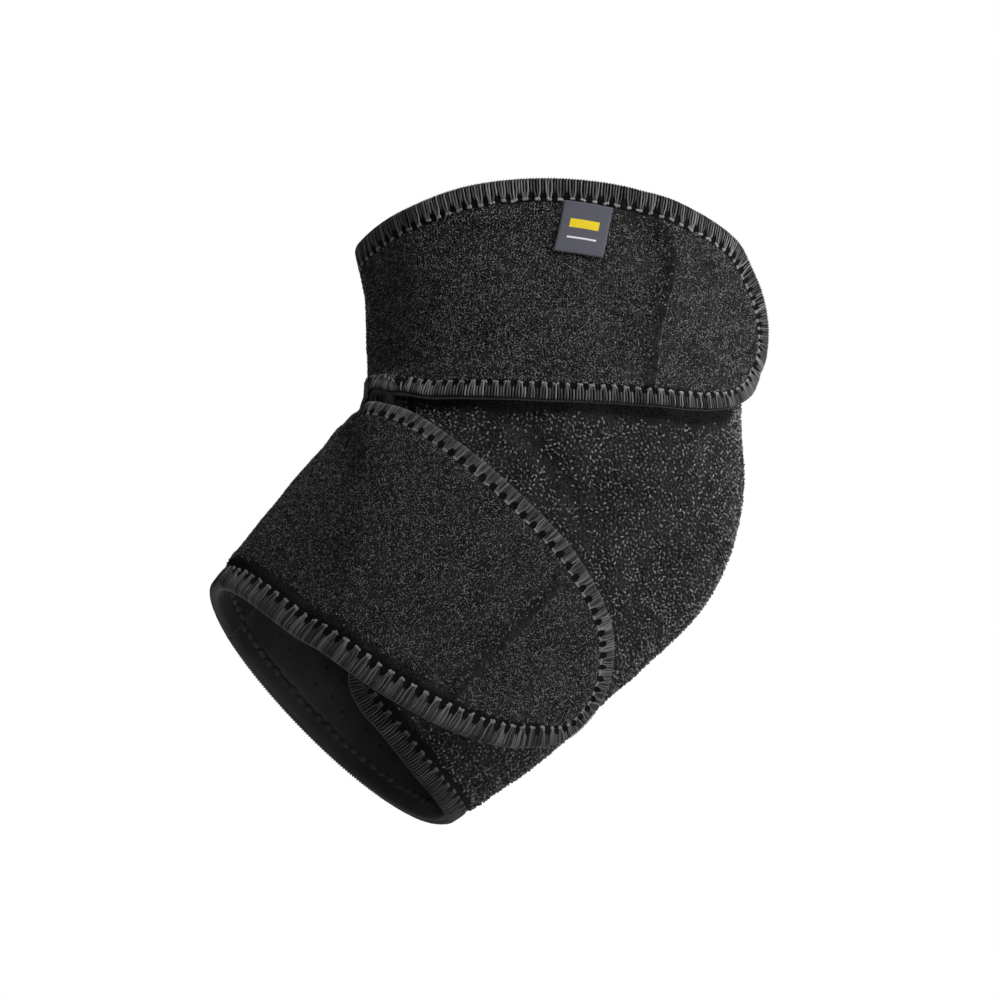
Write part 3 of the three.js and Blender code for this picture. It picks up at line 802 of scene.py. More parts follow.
def loops_tree():
    """Pile loops: small bent arches, both feet in the cloth, spread evenly at random turns."""
    sizes = ["Length", "Height", "Thickness", "Spacing", "Most"]
    tree, size = new_tree("pile_loops", sizes, ["Seed"])
    share = add_node(tree, "GeometryNodeInputNamedAttribute", {"Name": "pile"}, data_type="FLOAT")
    inputs = {
        "Mesh": size["Geometry"],
        "Distance Min": size["Spacing"],
        "Density Max": size["Most"],
        "Density Factor": share.outputs[0],
        "Seed": size["Seed"],
    }
    spots = add_node(
        tree, "GeometryNodeDistributePointsOnFaces", inputs, distribute_method="POISSON"
    )
    half = calc(tree, "MULTIPLY", size["Length"], 0.5)
    sunk = calc(tree, "MULTIPLY", size["Height"], -0.3)
    feet = [
        add_node(tree, "ShaderNodeCombineXYZ", {0: value, 2: sunk}).outputs[0]
        for value in (calc(tree, "MULTIPLY", half, -1.0), half)
    ]
    top = add_node(tree, "ShaderNodeCombineXYZ", {2: calc(tree, "MULTIPLY", size["Height"], 1.7)})
    inputs = {"Resolution": 2, "Start": feet[0], "Middle": top.outputs[0], "End": feet[1]}
    arch = add_node(tree, "GeometryNodeCurveQuadraticBezier", inputs)
    place = add_node(tree, "GeometryNodeSplineParameter").outputs["Factor"]
    swell = calc(tree, "SINE", calc(tree, "MULTIPLY", place, math.pi))
    inputs = {"Resolution": 3, "Radius": size["Thickness"]}
    ring = add_node(tree, "GeometryNodeCurvePrimitiveCircle", inputs)
    inputs = {"Curve": arch.outputs[0], "Profile Curve": ring.outputs[0], "Scale": swell}
    strand = add_node(tree, "GeometryNodeCurveToMesh", inputs)
    inputs = {"Geometry": strand.outputs[0], "Distance": 1e-6}
    strand = add_node(tree, "GeometryNodeMergeByDistance", inputs)
    inputs = {0: (-0.5, -0.5, 0), 1: (0.5, 0.5, 2 * math.pi), "Seed": 5}
    turn = add_node(tree, "FunctionNodeRandomValue", inputs, data_type="FLOAT_VECTOR")
    euler = add_node(tree, "FunctionNodeEulerToRotation", {0: turn.outputs[0]})
    inputs = {"Rotation": spots.outputs["Rotation"], "Rotate By": euler.outputs[0]}
    turned = add_node(tree, "FunctionNodeRotateRotation", inputs, rotation_space="LOCAL")
    inputs = {0: (0.75, 0.75, 0.6), 1: (1.3, 1.3, 1.35), "Seed": 8}
    grown = add_node(tree, "FunctionNodeRandomValue", inputs, data_type="FLOAT_VECTOR")
    inputs = {
        "Points": spots.outputs["Points"],
        "Instance": strand.outputs[0],
        "Rotation": turned.outputs[0],
        "Scale": grown.outputs[0],
    }
    copies = add_node(tree, "GeometryNodeInstanceOnPoints", inputs)
    end_tree(tree, toned(tree, copies.outputs[0], 0, 1, 11), size["Material"])
    return tree


def thread_finish(name, dark, light, roughness, rarity):
    """Thread: each strand has its own tone, which it reads from the mesh; bright ones are rarer."""
    material, tree, shader = new_material(name, roughness, Sheen_Weight=0.1)
    tone = calc(tree, "POWER", own_value(tree, "tone"), rarity)
    colour = blend_colour(tree, tone, 0.0, 1.0, dark, light)
    tree.links.new(colour, shader.inputs["Base Color"])
    bump(tree, shader, noise_at(tree, 0.25), 0.4, 0.1)
    return material


LOOPS = loops_tree()
DARK_LOOP = (0.003, 0.003, 0.0031)
LOOP_FINISH = thread_finish("pile_loops", DARK_LOOP, (0.27, 0.27, 0.275), 0.75, 1.7)
COARSE_LOOP_FINISH = thread_finish("coarse_loops", DARK_LOOP, (0.29, 0.29, 0.296), 0.7, 1.6)


def grow_pile(name, cloth, length, spacing, seed, finish):
    """The loop pile that stands on a cloth's outer face, its loops some millimetres long."""
    values = {
        "Length": length * MM,
        "Height": length * 0.42 * MM,
        "Thickness": length * 0.24 * MM,
        "Spacing": spacing * MM,
        "Most": 3.2 / (spacing * MM) ** 2,
        "Seed": seed,
        "Material": finish,
    }
    return grow(name, cloth.data.copy(), LOOPS, values)


base_pile = grow_pile(
    "base_panel_pile", base_cloth, length=1.2, spacing=0.96, seed=3, finish=COARSE_LOOP_FINISH
)

# Overlock on the main panel: black polyester thread wrapped round the free edges by an overlock
# machine. The threads lie side by side over the edge, and most of each group draw together into a
# finger that reaches further in and is looped there.
THREAD_REACH = 6.8
THREAD_END = 0.45
# Sizes of the knots as shares of the loop: the knot at each thread's tip, the bump inside the brace
TIP_KNOT = (1.5, 1.4, 1.1)
INNER_BUMP = (3.6, 4.6, 2.0)
# Where a thread starts on the nose, in quarter turns: just under it, or where the band is narrow
# nearer its outer face
NOSE_STARTS = ((-0.12, "GREATER_THAN"), (0.45, "LESS_THAN"))
NARROW_BAND = 0.9
# Round a tight corner there is no room for fingers: the threads' tips come closer than this share
FINGER_ROOM = 0.55


def hoop(tree, size, reach, count, start, aside=0.0):
    """One thread: from its start on the nose in along the face, where its end may lean aside."""
    line = add_node(tree, "GeometryNodeCurvePrimitiveLine", {"End": (1, 0, 0)})
    inputs = {"Curve": line.outputs[0], "Count": count}
    line = add_node(tree, "GeometryNodeResampleCurve", inputs)
    place = add_node(tree, "GeometryNodeSplineParameter").outputs["Factor"]
    half, centre = size["Half thickness"], size["Centre inset"]
    quarter = calc(tree, "MULTIPLY", half, math.pi / 2)
    low = calc(tree, "MULTIPLY", quarter, start)
    high = calc(tree, "ADD", calc(tree, "SUBTRACT", reach, centre), quarter)
    inputs = {"Value": place, "To Min": low, "To Max": high}
    along = add_node(tree, "ShaderNodeMapRange", inputs).outputs[0]
    arc = calc(tree, "MINIMUM", along, quarter)
    turn = calc(tree, "DIVIDE", arc, half)
    leg = calc(tree, "SUBTRACT", along, arc)
    round_part = calc(tree, "MULTIPLY", half, calc(tree, "COSINE", turn))
    inward = calc(tree, "ADD", calc(tree, "SUBTRACT", centre, round_part), leg)
    sink = calc(tree, "POWER", calc(tree, "DIVIDE", leg, reach), 4.0)
    sink = calc(tree, "MULTIPLY", sink, size["Sink"])
    rise = calc(tree, "SUBTRACT", calc(tree, "MULTIPLY", half, calc(tree, "SINE", turn)), sink)
    inputs = {"Value": inward, "From Min": size["Drawn from"], "From Max": reach}
    drawn = add_node(tree, "ShaderNodeMapRange", inputs, interpolation_type="SMOOTHSTEP")
    lean = calc(tree, "MULTIPLY", size["Drawn aside"], aside)
    sideways = calc(tree, "MULTIPLY", drawn.outputs[0], lean)
    point = add_node(tree, "ShaderNodeCombineXYZ", {0: inward, 1: sideways, 2: rise})
    inputs = {"Geometry": line.outputs[0], "Position": point.outputs[0]}
    bent = add_node(tree, "GeometryNodeSetPosition", inputs)
    from_end = calc(tree, "MINIMUM", place, calc(tree, "SUBTRACT", 1.0, place))
    taper = calc(tree, "ADD", calc(tree, "MULTIPLY", from_end, 6.0), THREAD_END)
    taper = calc(tree, "MINIMUM", taper, 1.0)
    inputs = {"Resolution": 4, "Radius": size["Thread radius"]}
    ring = add_node(tree, "GeometryNodeCurvePrimitiveCircle", inputs)
    inputs = {"Curve": bent.outputs[0], "Profile Curve": ring.outputs[0], "Scale": taper}
    inputs["Fill Caps"] = True
    return add_node(tree, "GeometryNodeCurveToMesh", inputs).outputs[0]


def blob(tree, radius, place, scale):
    """A small rounded loop of thread seen from its end."""
    ball = add_node(tree, "GeometryNodeMeshIcoSphere", {"Radius": radius, "Subdivisions": 2})
    spot = add_node(tree, "ShaderNodeCombineXYZ", dict(enumerate(place)))
    inputs = {"Geometry": ball.outputs[0], "Translation": spot.outputs[0], "Scale": scale}
    return add_node(tree, "GeometryNodeTransform", inputs).outputs[0]


def point_value(tree, label, data_type="FLOAT"):
    """A value that the start points carry."""
    kind = "GeometryNodeInputNamedAttribute"
    return add_node(tree, kind, {"Name": label}, data_type=data_type).outputs[0]


def edge_rotation(tree, turn):
    """Lays a copy's X into the cloth and its Z out of the face, then turns it about that Z."""
    axes = [point_value(tree, label, "FLOAT_VECTOR") for label in ("into", "out")]
    inputs = {"Primary Axis": axes[0], "Secondary Axis": axes[1]}
    kind = "FunctionNodeAxesToRotation"
    square = add_node(tree, kind, inputs, primary_axis="X", secondary_axis="Z")
    spin = add_node(tree, "ShaderNodeCombineXYZ", {2: turn})
    euler = add_node(tree, "FunctionNodeEulerToRotation", {0: spin.outputs[0]})
    inputs = {"Rotation": square.outputs[0], "Rotate By": euler.outputs[0]}
    kind = "FunctionNodeRotateRotation"
    return add_node(tree, kind, inputs, rotation_space="LOCAL").outputs[0]


def overlock_tree(name, finger_threads):
    """Threads and their loops on points along an edge; a group's first threads form a finger."""
    sizes = ["Half thickness", "Centre inset", "Thread radius", "Long leg", "Short leg", "Sink"]
    sizes += ["Drawn from", "Drawn aside", "Loop"]
    tree, size = new_tree(name, sizes, ["Threads a group"])
    index = add_node(tree, "GeometryNodeInputIndex").outputs[0]
    place = calc(tree, "FLOORED_MODULO", index, size["Threads a group"])
    roomy = calc(tree, "GREATER_THAN", point_value(tree, "room"), FINGER_ROOM)
    in_finger = calc(tree, "LESS_THAN", place, finger_threads - 0.5)
    in_finger = calc(tree, "MULTIPLY", in_finger, roomy)
    is_short = calc(tree, "SUBTRACT", 1.0, in_finger)
    inputs = {2: -0.04, 3: 0.04, "Seed": 2}
    stray = add_node(tree, "FunctionNodeRandomValue", inputs, data_type="FLOAT").outputs[1]
    inputs = {0: (0.95, 0.85, 0.98), 1: (1.04, 1.12, 1.02), "Seed": 4}
    grown = add_node(tree, "FunctionNodeRandomValue", inputs, data_type="FLOAT_VECTOR")
    width = point_value(tree, "width")
    stretch = add_node(tree, "ShaderNodeCombineXYZ", {0: width, 1: 1.0, 2: 1.0})
    inputs = {0: grown.outputs[0], 1: stretch.outputs[0]}
    grown = add_node(tree, "ShaderNodeVectorMath", inputs, operation="MULTIPLY")
    rotation = edge_rotation(tree, stray)

    far, loop = size["Long leg"], size["Loop"]
    tip = calc(tree, "SUBTRACT", size["Half thickness"], size["Sink"])
    under = calc(tree, "MULTIPLY", size["Half thickness"], -0.98)
    once = calc(tree, "COMPARE", place, 1.0, 0.4)
    # what is placed, where it is chosen, and the lowest and highest tone
    kinds = [(blob(tree, loop, (far, 0.0, under), INNER_BUMP), once, 0.2, 0.5)]
    for start, side in NOSE_STARTS:
        chosen = calc(tree, "MULTIPLY", is_short, calc(tree, side, width, NARROW_BAND))
        kinds.append((hoop(tree, size, size["Short leg"], 8, start), chosen, 0.0, 0.9))
    for k in range(finger_threads):
        aside = (finger_threads - 1) / 2 - k
        sideways = calc(tree, "MULTIPLY", size["Drawn aside"], aside)
        here = calc(tree, "MULTIPLY", calc(tree, "COMPARE", place, float(k), 0.4), roomy)
        kinds.append((blob(tree, loop, (far, sideways, tip), TIP_KNOT), here, 0.8, 1.4))
        for start, side in NOSE_STARTS:
            chosen = calc(tree, "MULTIPLY", here, calc(tree, side, width, NARROW_BAND))
            kinds.append((hoop(tree, size, far, 10, start, aside), chosen, 0.0, 0.9))
    joined = add_node(tree, "GeometryNodeJoinGeometry")
    for seed, (shape, chosen, low, high) in enumerate(kinds):
        inputs = {
            "Points": size["Geometry"],
            "Selection": chosen,
            "Instance": shape,
            "Rotation": rotation,
            "Scale": grown.outputs[0],
        }
        copies = add_node(tree, "GeometryNodeInstanceOnPoints", inputs)
        tree.links.new(toned(tree, copies.outputs[0], low, high, seed), joined.inputs[0])
    end_tree(tree, joined.outputs[0], size["Material"])
    return tree


def edge_points(name, sheet, pitch):
    """Points along a sheet's edge, with the directions into the cloth and out of its face."""
    count = round(sheet.length[-1] / pitch)
    length = (np.arange(count) + 0.5) * sheet.length[-1] / count
    share = np.where(length < sheet.out_run, length / sheet.out_run, 1.0)
    past = length > sheet.back_run
    share[past] = (sheet.length[-1] - length[past]) / (sheet.length[-1] - sheet.back_run)
    if sheet.seam_angle > sheet.end_angle:
        length, share = length[::-1], share[::-1]
    ribs = Ribs(sheet, length, share)
    angle, station = ribs.at(ribs.share_at([0.0, EDGING_WIDTH]))
    edge, inner = np.moveaxis(sheet.middle(angle, station), 1, 0)
    above = arm_point(angle, station, sheet.lift(angle, station) + WALL / 2 + 1).mean(1)
    out = above - sheet.middle(angle, station).mean(1)
    gaps = [np.linalg.norm(np.diff(row, axis=0, append=row[-1:]), axis=1) for row in (edge, inner)]
    room = np.convolve((gaps[1] + 1e-6) / (gaps[0] + 1e-6), np.ones(5) / 5, "same")
    width = drawn_in(THREAD_REACH, ribs.narrow) / THREAD_REACH
    return direction_points(name, edge, inner - edge, out, room, width)


def direction_points(name, points, into, out, room, width):
    """A mesh of bare points with two directions each, the threads' spread and their length."""
    mesh = bpy.data.meshes.new(name)
    mesh.from_pydata((points * MM).tolist(), [], [])
    for label, values in (("into", into), ("out", out)):
        values = values / np.linalg.norm(values, axis=1)[:, None]
        keep_values(mesh, label, values, "FLOAT_VECTOR")
    keep_values(mesh, "room", room)
    keep_values(mesh, "width", width)
    return mesh


OVERLOCK = overlock_tree("overlock", 3)
THREAD_FINISH = thread_finish(
    "overlock_thread", (0.006, 0.006, 0.0062), (0.24, 0.24, 0.245), 0.38, 1.5
)
DULL_THREAD = thread_finish("dull_thread", (0.01, 0.01, 0.0103), (0.07, 0.07, 0.072), 0.7, 1.2)


def grow_overlock(name, sheet, tree, group, pitch, radius, ribbed, reach, finish):
    """One sheet's threads: a finger to each group, its reach, and the plain ribbed part's."""
    values = {
        "Half thickness": 1.69 * MM,
        "Centre inset": BAND_HALF * MM,
        "Thread radius": radius * MM,
        "Long leg": reach * MM,
        "Short leg": ribbed * MM,
        "Sink": 0.2 * MM,
        "Drawn from": (ribbed - 0.9) * MM,
        "Drawn aside": pitch * 0.5 * MM,
        "Loop": (0.16 + radius * 0.65) * MM,
        "Threads a group": group,
        "Material": finish,
    }
    return grow(name, edge_points(name + "_points", sheet, pitch), tree, values)


base_overlock = grow_overlock(
    "base_panel_overlock",
    BASE_SHEET,
    OVERLOCK,
    group=4,
    pitch=0.92,
    radius=0.25,
    ribbed=4.6,
    reach=5.8,
    finish=DULL_THREAD,
)


def finish_piece(piece, slot, *nodes):
    """A piece rides on the one body and may stand for CAD nodes; its slot is not used."""
    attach(piece, "root")
    if nodes:
        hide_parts(*nodes)


finish_piece(base_cloth, "base_panel", "base_panel")
finish_piece(base_pile, "base_panel")
finish_piece(base_overlock, "base_panel_edging", "base_panel_edging")


# Far-side seam: the straps are butted to the panel and joined by a flat zigzag of the same thread,
# which lies on the outer face only. It is drawn as single stitches that cross the joint.
STITCH_PITCH = 1.25
STITCH_REACH = 5.0
STITCH_RADIUS = 0.3
STITCH_SUNK = 0.65


def stitches_tree():
    """Short bent threads, every other one leaning the other way."""
    tree, size = new_tree("stitches", ["Reach", "Thread radius", "Lean"])
    ends = [calc(tree, "MULTIPLY", size["Reach"], share) for share in (-0.5, 0.5)]
    height = calc(tree, "MULTIPLY", size["Thread radius"], 2.6)
    start, middle, end = (
        add_node(tree, "ShaderNodeCombineXYZ", place).outputs[0]
        for place in ({0: ends[0]}, {2: height}, {0: ends[1]})
    )
    inputs = {"Resolution": 8, "Start": start, "Middle": middle, "End": end}
    arch = add_node(tree, "GeometryNodeCurveQuadraticBezier", inputs)
    inputs = {"Resolution": 6, "Radius": size["Thread radius"]}
    ring = add_node(tree, "GeometryNodeCurvePrimitiveCircle", inputs)
    inputs = {"Curve": arch.outputs[0], "Profile Curve": ring.outputs[0], "Fill Caps": True}
    strand = add_node(tree, "GeometryNodeCurveToMesh", inputs)
    index = add_node(tree, "GeometryNodeInputIndex").outputs[0]
    side = calc(tree, "SUBTRACT", calc(tree, "FLOORED_MODULO", index, 2.0), 0.5)
    rotation = edge_rotation(tree, calc(tree, "MULTIPLY", side, size["Lean"]))
    inputs = {"Points": size["Geometry"], "Instance": strand.outputs[0], "Rotation": rotation}
    copies = add_node(tree, "GeometryNodeInstanceOnPoints", inputs)
    end_tree(tree, toned(tree, copies.outputs[0], 0.1, 0.6, 3), size["Material"])
    return tree


def grow_seam(name):
    """The row of stitches over the joint, between the upper and the lower rim's threads."""
    rims = station_of("up", 0.84), station_of("down", 0.958)
    station = np.arange(rims[0] + 8, rims[1] - 7, STITCH_PITCH)
    angle = np.full(len(station), SEAM_ANGLE + SEAM_GAP / 2)
    here = arm_point(angle, station, WALL - STITCH_SUNK)
    across = arm_point(angle + 1, station, WALL) - arm_point(angle - 1, station, WALL)
    out = arm_point(angle, station, WALL + 1) - arm_point(angle, station, WALL)
    even = np.ones(len(station))
    points = direction_points(name + "_points", here, across, out, even, even)
    values = {"Reach": STITCH_REACH * MM, "Thread radius": STITCH_RADIUS * MM, "Lean": 1.0}
    values["Material"] = THREAD_FINISH
    return grow(name, points, stitches_tree(), values)


seam_stitches = grow_seam("far_seam_stitches")
finish_piece(seam_stitches, "base_panel_edging")


# Hook patches: black nylon hook tape, sewn flat to the inside of each strap's rounded end. They
# grip the panel's loop pile and so hold the brace closed. Worn, they are out of sight.
HOOK_GAP = 0.3
HOOK_DEPTH = 1.4
HOOK_DEGREES = 17


def hook_finish():
    """Hook tape: dull black nylon, its fine hooks in rows as bumps."""
    material, tree, shader = new_material("hook_tape", 0.55)
    place = add_node(tree, "ShaderNodeTexCoord").outputs["Object"]
    inputs = {"Vector": place, "Scale": 1 / (1.1 * MM), "Randomness": 0.35}
    cells = add_node(tree, "ShaderNodeTexVoronoi", inputs).outputs["Distance"]
    colour = blend_colour(tree, cells, 0.1, 0.7, (0.03, 0.03, 0.031), (0.008, 0.008, 0.008))
    tree.links.new(colour, shader.inputs["Base Color"])
    bump(tree, shader, calc(tree, "SUBTRACT", 1.0, cells), 1.0, 0.4)
    return material


HOOK_FINISH = hook_finish()


def make_hook_patch(name, sheet):
    """The tape under a strap's end: a plain closed wall that ends inside the strap's edge."""
    ribs = sheet.ribs(2.0, 1.6)
    chosen = ribs.share >= 1 - HOOK_DEGREES / (sheet.end_angle - sheet.seam_angle)
    share = ribs.share_at([INNER_FROM] * 9)
    share += (1 - share) * np.linspace(1, 0, 9)
    angle, station = (values[chosen] for values in ribs.at(share))
    bottom, top = (
        arm_point(angle, station, sheet.lift(angle, station) - depth)
        for depth in (HOOK_DEPTH, HOOK_GAP)
    )
    rows = np.concatenate([bottom, top[:, ::-1]], axis=1)
    faces = wall_faces(len(rows), rows.shape[1])
    made = make_object(name + "_tape", rows.reshape(-1, 3), faces, [HOOK_FINISH])
    finish_piece(made, name, name)
    return made


upper_hook = make_hook_patch("upper_hook_patch", UPPER_SHEET)
lower_hook = make_hook_patch("lower_hook_patch", LOWER_SHEET)


# Upper strap: the same neoprene, sewn to the panel on the far side. It comes round the front of
# the upper arm over the panel and closes with a hook patch under its rounded tab, whose sewn
# edge shows as a shallow line across the strap.
UPPER_SEWN_LINE = [
    (271.7, "up", 0.836),
    (278.7, "up", 0.832),
    (284.4, "up", 0.81),
    (288.5, "up", 0.768),
    (291.4, "up", 0.714),
    (292.8, "up", 0.64),
    (292.7, "up", 0.45),
    (291.6, "up", 0.3),
    (290.3, "up", 0.175),
    (289.2, "up", 0.038),
    (288.6, "bend", 0.08),
    (287.9, "bend", 0.18),
]


# The sewn line shows from this far in and fades over this width, with thinned pile as painted
# shade.
# At the forearm's rim the pile starts a little further in.
LINE_FROM = 8
LINE_WIDTH = 3.2
RIM_BARE = 2.0


def strap_relief(past, depth):
    """Swells, the edge's groove, and the rise up to the sewn edge of the hook patch."""

    def relief(angle, station, inset, middle):
        away, strength = past(angle, station)
        rise = 0.8 * hump(away, LINE_WIDTH)
        fall = (0.8 - smooth_step(away, 0.8)) * hump(away, 1.3)
        step = depth * strength * np.where(away < 0, rise, fall)
        swells = cloth_relief(angle, inset, middle, size=14, depth=0.5)
        return swells + smooth_step(inset - LINE_FROM, 1) * step

    return relief


def strap_pile_share(past):
    """Pile: thin by the sewn line as painted shade, starting further in at the forearm's rim."""

    def share(angle, station, inset):
        away, strength = past(angle, station)
        # Painted shade: the pile is thinned beside the sewn line, widest on its slope, so the dark
        # ground shows
        thin = 0.95 * strength * hump(away, np.where(away < 0, LINE_WIDTH, 0.5))
        bare_margin = RIM_BARE * smooth_step(station - BEND_LENGTH - 0.66 * FOREARM_REACH, 8)
        return pile_edge(angle, inset, bare_margin) * (1 - thin)

    return share


def make_strap(name, sheet, sewn_line, depth, seed, threads):
    """A strap's cloth, pile and overlock."""
    past = past_line(sheet, sewn_line)
    cloth = make_cloth(
        name + "_cloth",
        sheet,
        step=1.0,
        rings=26,
        lining_rings=10,
        relief=strap_relief(past, depth),
        materials=[PILE_GROUND, LINING],
        pile_share=strap_pile_share(past),
    )
    pile = grow_pile(
        name + "_pile", cloth, length=0.78, spacing=0.52, seed=seed, finish=LOOP_FINISH
    )
    overlock = grow_overlock(
        name + "_overlock", sheet, reach=THREAD_REACH, finish=THREAD_FINISH, **threads
    )
    finish_piece(cloth, name, name)
    finish_piece(pile, name)
    finish_piece(overlock, name + "_edging", name + "_edging")
    return cloth, pile, overlock


UPPER_THREADS = {"tree": OVERLOCK, "group": 4, "pitch": 0.84, "radius": 0.27, "ribbed": 5.0}
upper_pieces = make_strap(
    "upper_strap", UPPER_SHEET, UPPER_SEWN_LINE, depth=2.5, seed=21, threads=UPPER_THREADS
)

# Lower strap: the same neoprene strap again round the forearm, wider at its end, sewn and closed
# alike. Its edge is overlocked with a finer thread.
LOWER_SEWN_LINE = [
    (291.0, "down", 0.06),
    (294.4, "down", 0.148),
    (294.8, "down", 0.261),
    (295.5, "down", 0.372),
    (296.2, "down", 0.53),
    (297.3, "down", 0.639),
    (298.6, "down", 0.724),
]
FINE_OVERLOCK = overlock_tree("fine_overlock", 5)
LOWER_THREADS = {"tree": FINE_OVERLOCK, "group": 7, "pitch": 0.54, "radius": 0.19, "ribbed": 4.7}
lower_pieces = make_strap(
    "lower_strap", LOWER_SHEET, LOWER_SEWN_LINE, depth=1.4, seed=34, threads=LOWER_THREADS
)

# Woven label: a small slate damask label, folded at its foot, its raw end caught under the upper
# strap's overlock. It carries a plain woven stripe and a thin line.
LABEL_WIDTH = 14.5
LABEL_DROP = 15
LABEL_ANGLE = 269
LABEL_TILT = 0.9
LABEL_INSET = 7.8
LABEL_POINTS = 25


def label_finish():
    """Slate weave with a yellow stripe and a thin white line, set by the label's own map."""
    material, tree, shader = new_material("label_weave", 0.7, Sheen_Weight=0.2)
    place = add_node(tree, "ShaderNodeUVMap", uv_map="weave").outputs[0]
    parts = add_node(tree, "ShaderNodeSeparateXYZ", {0: place}).outputs
    inputs = {"Vector": place, "Scale": 40.0, "Detail": 2.0}
    cloudy = add_node(tree, "ShaderNodeTexNoise", inputs).outputs["Fac"]
    ground = blend_colour(tree, cloudy, 0.3, 0.7, (0.05, 0.05, 0.068), (0.095, 0.095, 0.125))

    def band(centre, half, side):
        across = calc(tree, "ABSOLUTE", calc(tree, "SUBTRACT", parts[1], centre))
        sideways = calc(tree, "ABSOLUTE", calc(tree, "SUBTRACT", parts[0], 0.5))
        rows = calc(tree, "LESS_THAN", across, half)
        return calc(tree, "MULTIPLY", rows, calc(tree, "LESS_THAN", sideways, side))

    colour = ground
    for share, paint in (
        (band(0.42, 0.085, 0.3), (0.82, 0.62, 0.0, 1)),
        (band(0.7, 0.018, 0.3), (0.75, 0.75, 0.77, 1)),
    ):
        inputs = {0: share, 6: colour, 7: paint}
        colour = add_node(tree, "ShaderNodeMix", inputs, data_type="RGBA").outputs[2]
    tree.links.new(colour, shader.inputs["Base Color"])
    waves = [
        calc(tree, "SINE", calc(tree, "MULTIPLY", parts[k], 2 * math.pi * threads))
        for k, threads in ((0, 42), (1, 30))
    ]
    bump(tree, shader, calc(tree, "MULTIPLY", waves[0], waves[1]), 0.5, 0.12)
    return material


def make_label():
    """A thin closed wall that follows the strap, its foot lifting off a little."""
    count = LABEL_POINTS
    centre = UPPER_SHEET.length[np.argmax(UPPER_SHEET.angle >= LABEL_ANGLE)]
    length = centre + np.linspace(-0.5, 0.5, count) * LABEL_WIDTH
    ribs = Ribs(UPPER_SHEET, length, length / UPPER_SHEET.out_run)
    down = np.linspace(0, 1, count)
    tilt = np.linspace(-0.5, 0.5, count)[:, None] * LABEL_TILT
    insets = LABEL_INSET + down[None, :] * LABEL_DROP + tilt
    shares = np.array([np.interp(row, known, ribs.steps) for row, known in zip(insets, ribs.inset)])
    angle, station = ribs.at(shares)
    angle = angle - down[None, :] * LABEL_TILT / CHART_PER_DEGREE
    side = np.abs(np.linspace(-1, 1, count))[:, None]
    rise = 0.45 + 0.55 * down[None, :] ** 2 + 0.35 * side**4 * down[None, :]
    half = 0.28 * np.sqrt(np.clip(1 - np.maximum(side, down[None, :]) ** 30, 0.1, 1))
    middle = UPPER_SHEET.lift(angle, station) + WALL + rise
    points = [arm_point(angle, station, middle + sign * half).reshape(-1, 3) for sign in (1, -1)]
    size = count * count
    faces = []
    for k in range(count - 1):
        for j in range(count - 1):
            corner = k * count + j
            quad = [corner, corner + 1, corner + 1 + count, corner + count]
            faces += [quad, [size + v for v in reversed(quad)]]
    rim = [k * count for k in range(count)]
    rim += [(count - 1) * count + j for j in range(1, count)]
    rim += [k * count + count - 1 for k in range(count - 2, -1, -1)]
    rim += list(range(count - 2, 0, -1))
    for a, b in zip(rim, rim[1:] + rim[:1]):
        faces.append([a, b, size + b, size + a])
    across = np.tile(np.repeat(down, count), 2)
    attributes = {"across": across, "down": np.tile(down, 2 * count)}
    made = make_object(
        "woven_label_cloth", np.vstack(points), faces, [label_finish()], attributes=attributes
    )
    chart = made.data.uv_layers.new(name="weave")
    at = [made.data.attributes[label].data for label in ("across", "down")]
    for corner in made.data.loops:
        spot = corner.vertex_index
        chart.data[corner.index].uv = (at[0][spot].value, at[1][spot].value)
    finish_piece(made, "woven_label", "woven_label")


make_label()

# Studio: a pale floor well below the brace, which is shown held up as on an arm, soft lights and
# the camera at the photograph's place, a little below the brace and to its left.
CAMERA_AZIMUTH = math.radians(-11)
CAMERA_ELEVATION = math.radians(-15)
CAMERA_DISTANCE = 1.1
CAMERA_LENS = 136.55
CAMERA_SHIFT = (-0.01653, -0.00667)
FLOOR_HEIGHT = -0.42
FLOOR_GLOW = 0.1
FLOOR_SEEN_GLOW = 0.5
AIR_LIGHT = 0.02

back = Vector(
    (
        math.sin(CAMERA_AZIMUTH) * math.cos(CAMERA_ELEVATION),
        -math.cos(CAMERA_AZIMUTH) * math.cos(CAMERA_ELEVATION),
        math.sin(CAMERA_ELEVATION),
    )
)
right = Vector((math.cos(CAMERA_AZIMUTH), math.sin(CAMERA_AZIMUTH), 0))
aim = right * CAMERA_SHIFT[0] + back.cross(right) * CAMERA_SHIFT[1]
camera = bpy.data.objects.new("camera", bpy.data.cameras.new("camera"))
camera.data.lens = CAMERA_LENS
camera.data.sensor_width = 36
camera.data.clip_start = 0.05
camera.location = aim + back * CAMERA_DISTANCE
camera.rotation_mode = "QUATERNION"
camera.rotation_quaternion = (-back).to_track_quat("-Z", "Y")
bpy.context.scene.collection.objects.link(camera)
bpy.context.scene.camera = camera


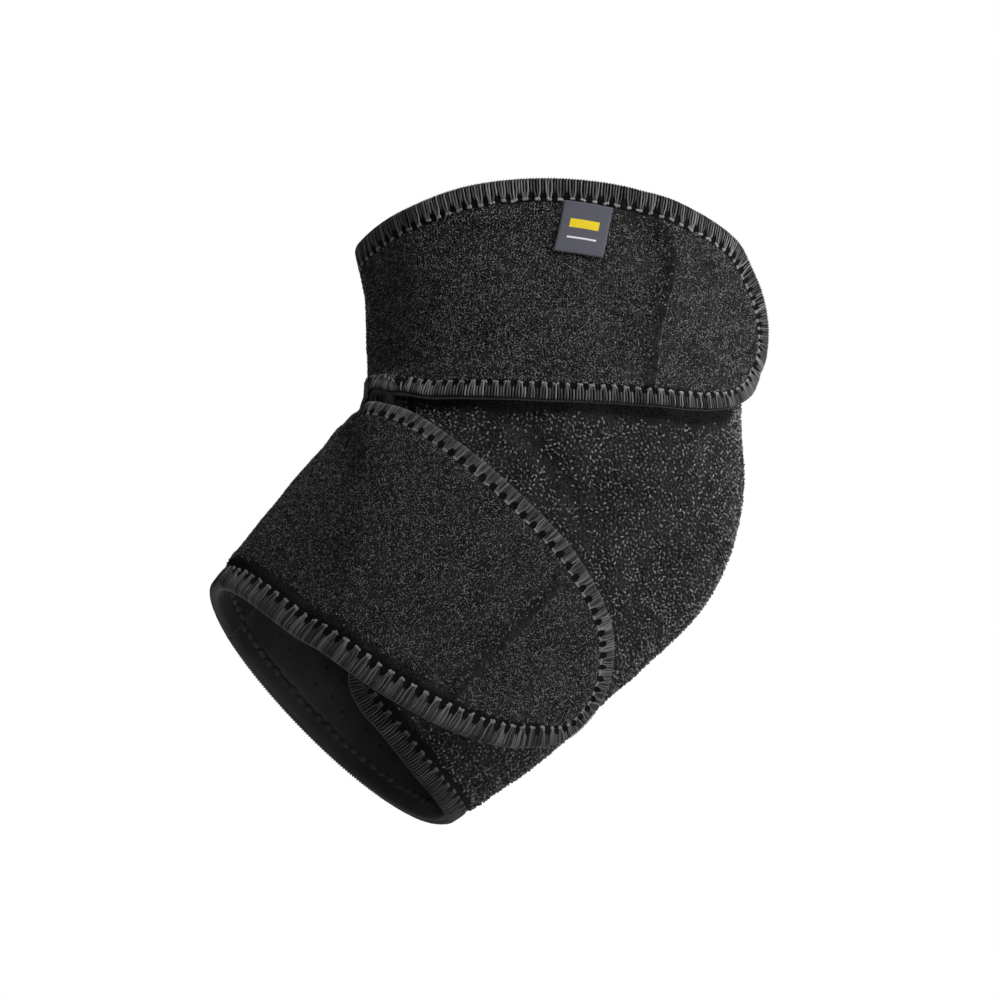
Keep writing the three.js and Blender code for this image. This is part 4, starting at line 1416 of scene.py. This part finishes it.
def soft_light(name, place, width, power, spread=180, target=(0, 0, 0)):
    """A square soft light that faces the brace or a part of it."""
    data = bpy.data.lights.new(name, "AREA")
    data.size = width
    data.energy = power
    data.spread = math.radians(spread)
    light = bpy.data.objects.new(name, data)
    light.location = place
    light.rotation_mode = "QUATERNION"
    light.rotation_quaternion = (Vector(target) - light.location).to_track_quat("-Z", "Y")
    bpy.context.scene.collection.objects.link(light)


soft_light("key", (0.34, -0.56, 0.36), 0.2, 0.205, 32, (0.055, -0.03, 0.05))
soft_light("left", (-0.32, -0.5, 0.3), 0.2, 0.02, 18, (-0.03, -0.03, 0.08))
soft_light("mouth", (-0.05, -0.55, -0.34), 0.15, 0.014, 14, (-0.06, 0, -0.12))
soft_light("low", (0.35, -0.35, -0.45), 0.3, 0.2, 26, (0.01, -0.02, -0.1))
soft_light("side", (1.1, 0.1, 0.1), 0.7, 2.2)
soft_light("back", (0.5, 0.8, 0.9), 0.6, 8)

floor_material, floor_tree, floor_shader = new_material("floor", 0.9)
seen = add_node(floor_tree, "ShaderNodeLightPath").outputs["Is Camera Ray"]
glow = calc(floor_tree, "MULTIPLY", seen, FLOOR_SEEN_GLOW)
glow = calc(floor_tree, "ADD", glow, FLOOR_GLOW)
floor_tree.links.new(glow, floor_shader.inputs["Emission Strength"])
shade = blend_colour(
    floor_tree, noise_at(floor_tree, 60.0), 0.3, 0.7, (0.78, 0.78, 0.78), (0.82, 0.82, 0.82)
)
floor_tree.links.new(shade, floor_shader.inputs["Base Color"])
bpy.ops.mesh.primitive_circle_add(
    vertices=64, radius=6, fill_type="NGON", location=(0, 0, FLOOR_HEIGHT)
)
floor = bpy.context.object
floor.name = "floor"
floor.data.materials.append(floor_material)
floor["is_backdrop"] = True

world = bpy.data.worlds.new("studio")
world.use_nodes = True
bpy.context.scene.world = world
air = world.node_tree
ray = add_node(air, "ShaderNodeLightPath").outputs["Is Camera Ray"]
brightness = calc(air, "ADD", calc(air, "MULTIPLY", ray, 1 - AIR_LIGHT), AIR_LIGHT)
air.links.new(brightness, air.nodes["Background"].inputs["Strength"])
air.nodes["Background"].inputs["Color"].default_value = (1, 1, 1, 1)
bpy.context.scene.view_settings.view_transform = "Standard"

boxes = {"cad": cad_box, "visual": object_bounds()}
boxes = {label: [list(corner) for corner in box] for label, box in boxes.items()}
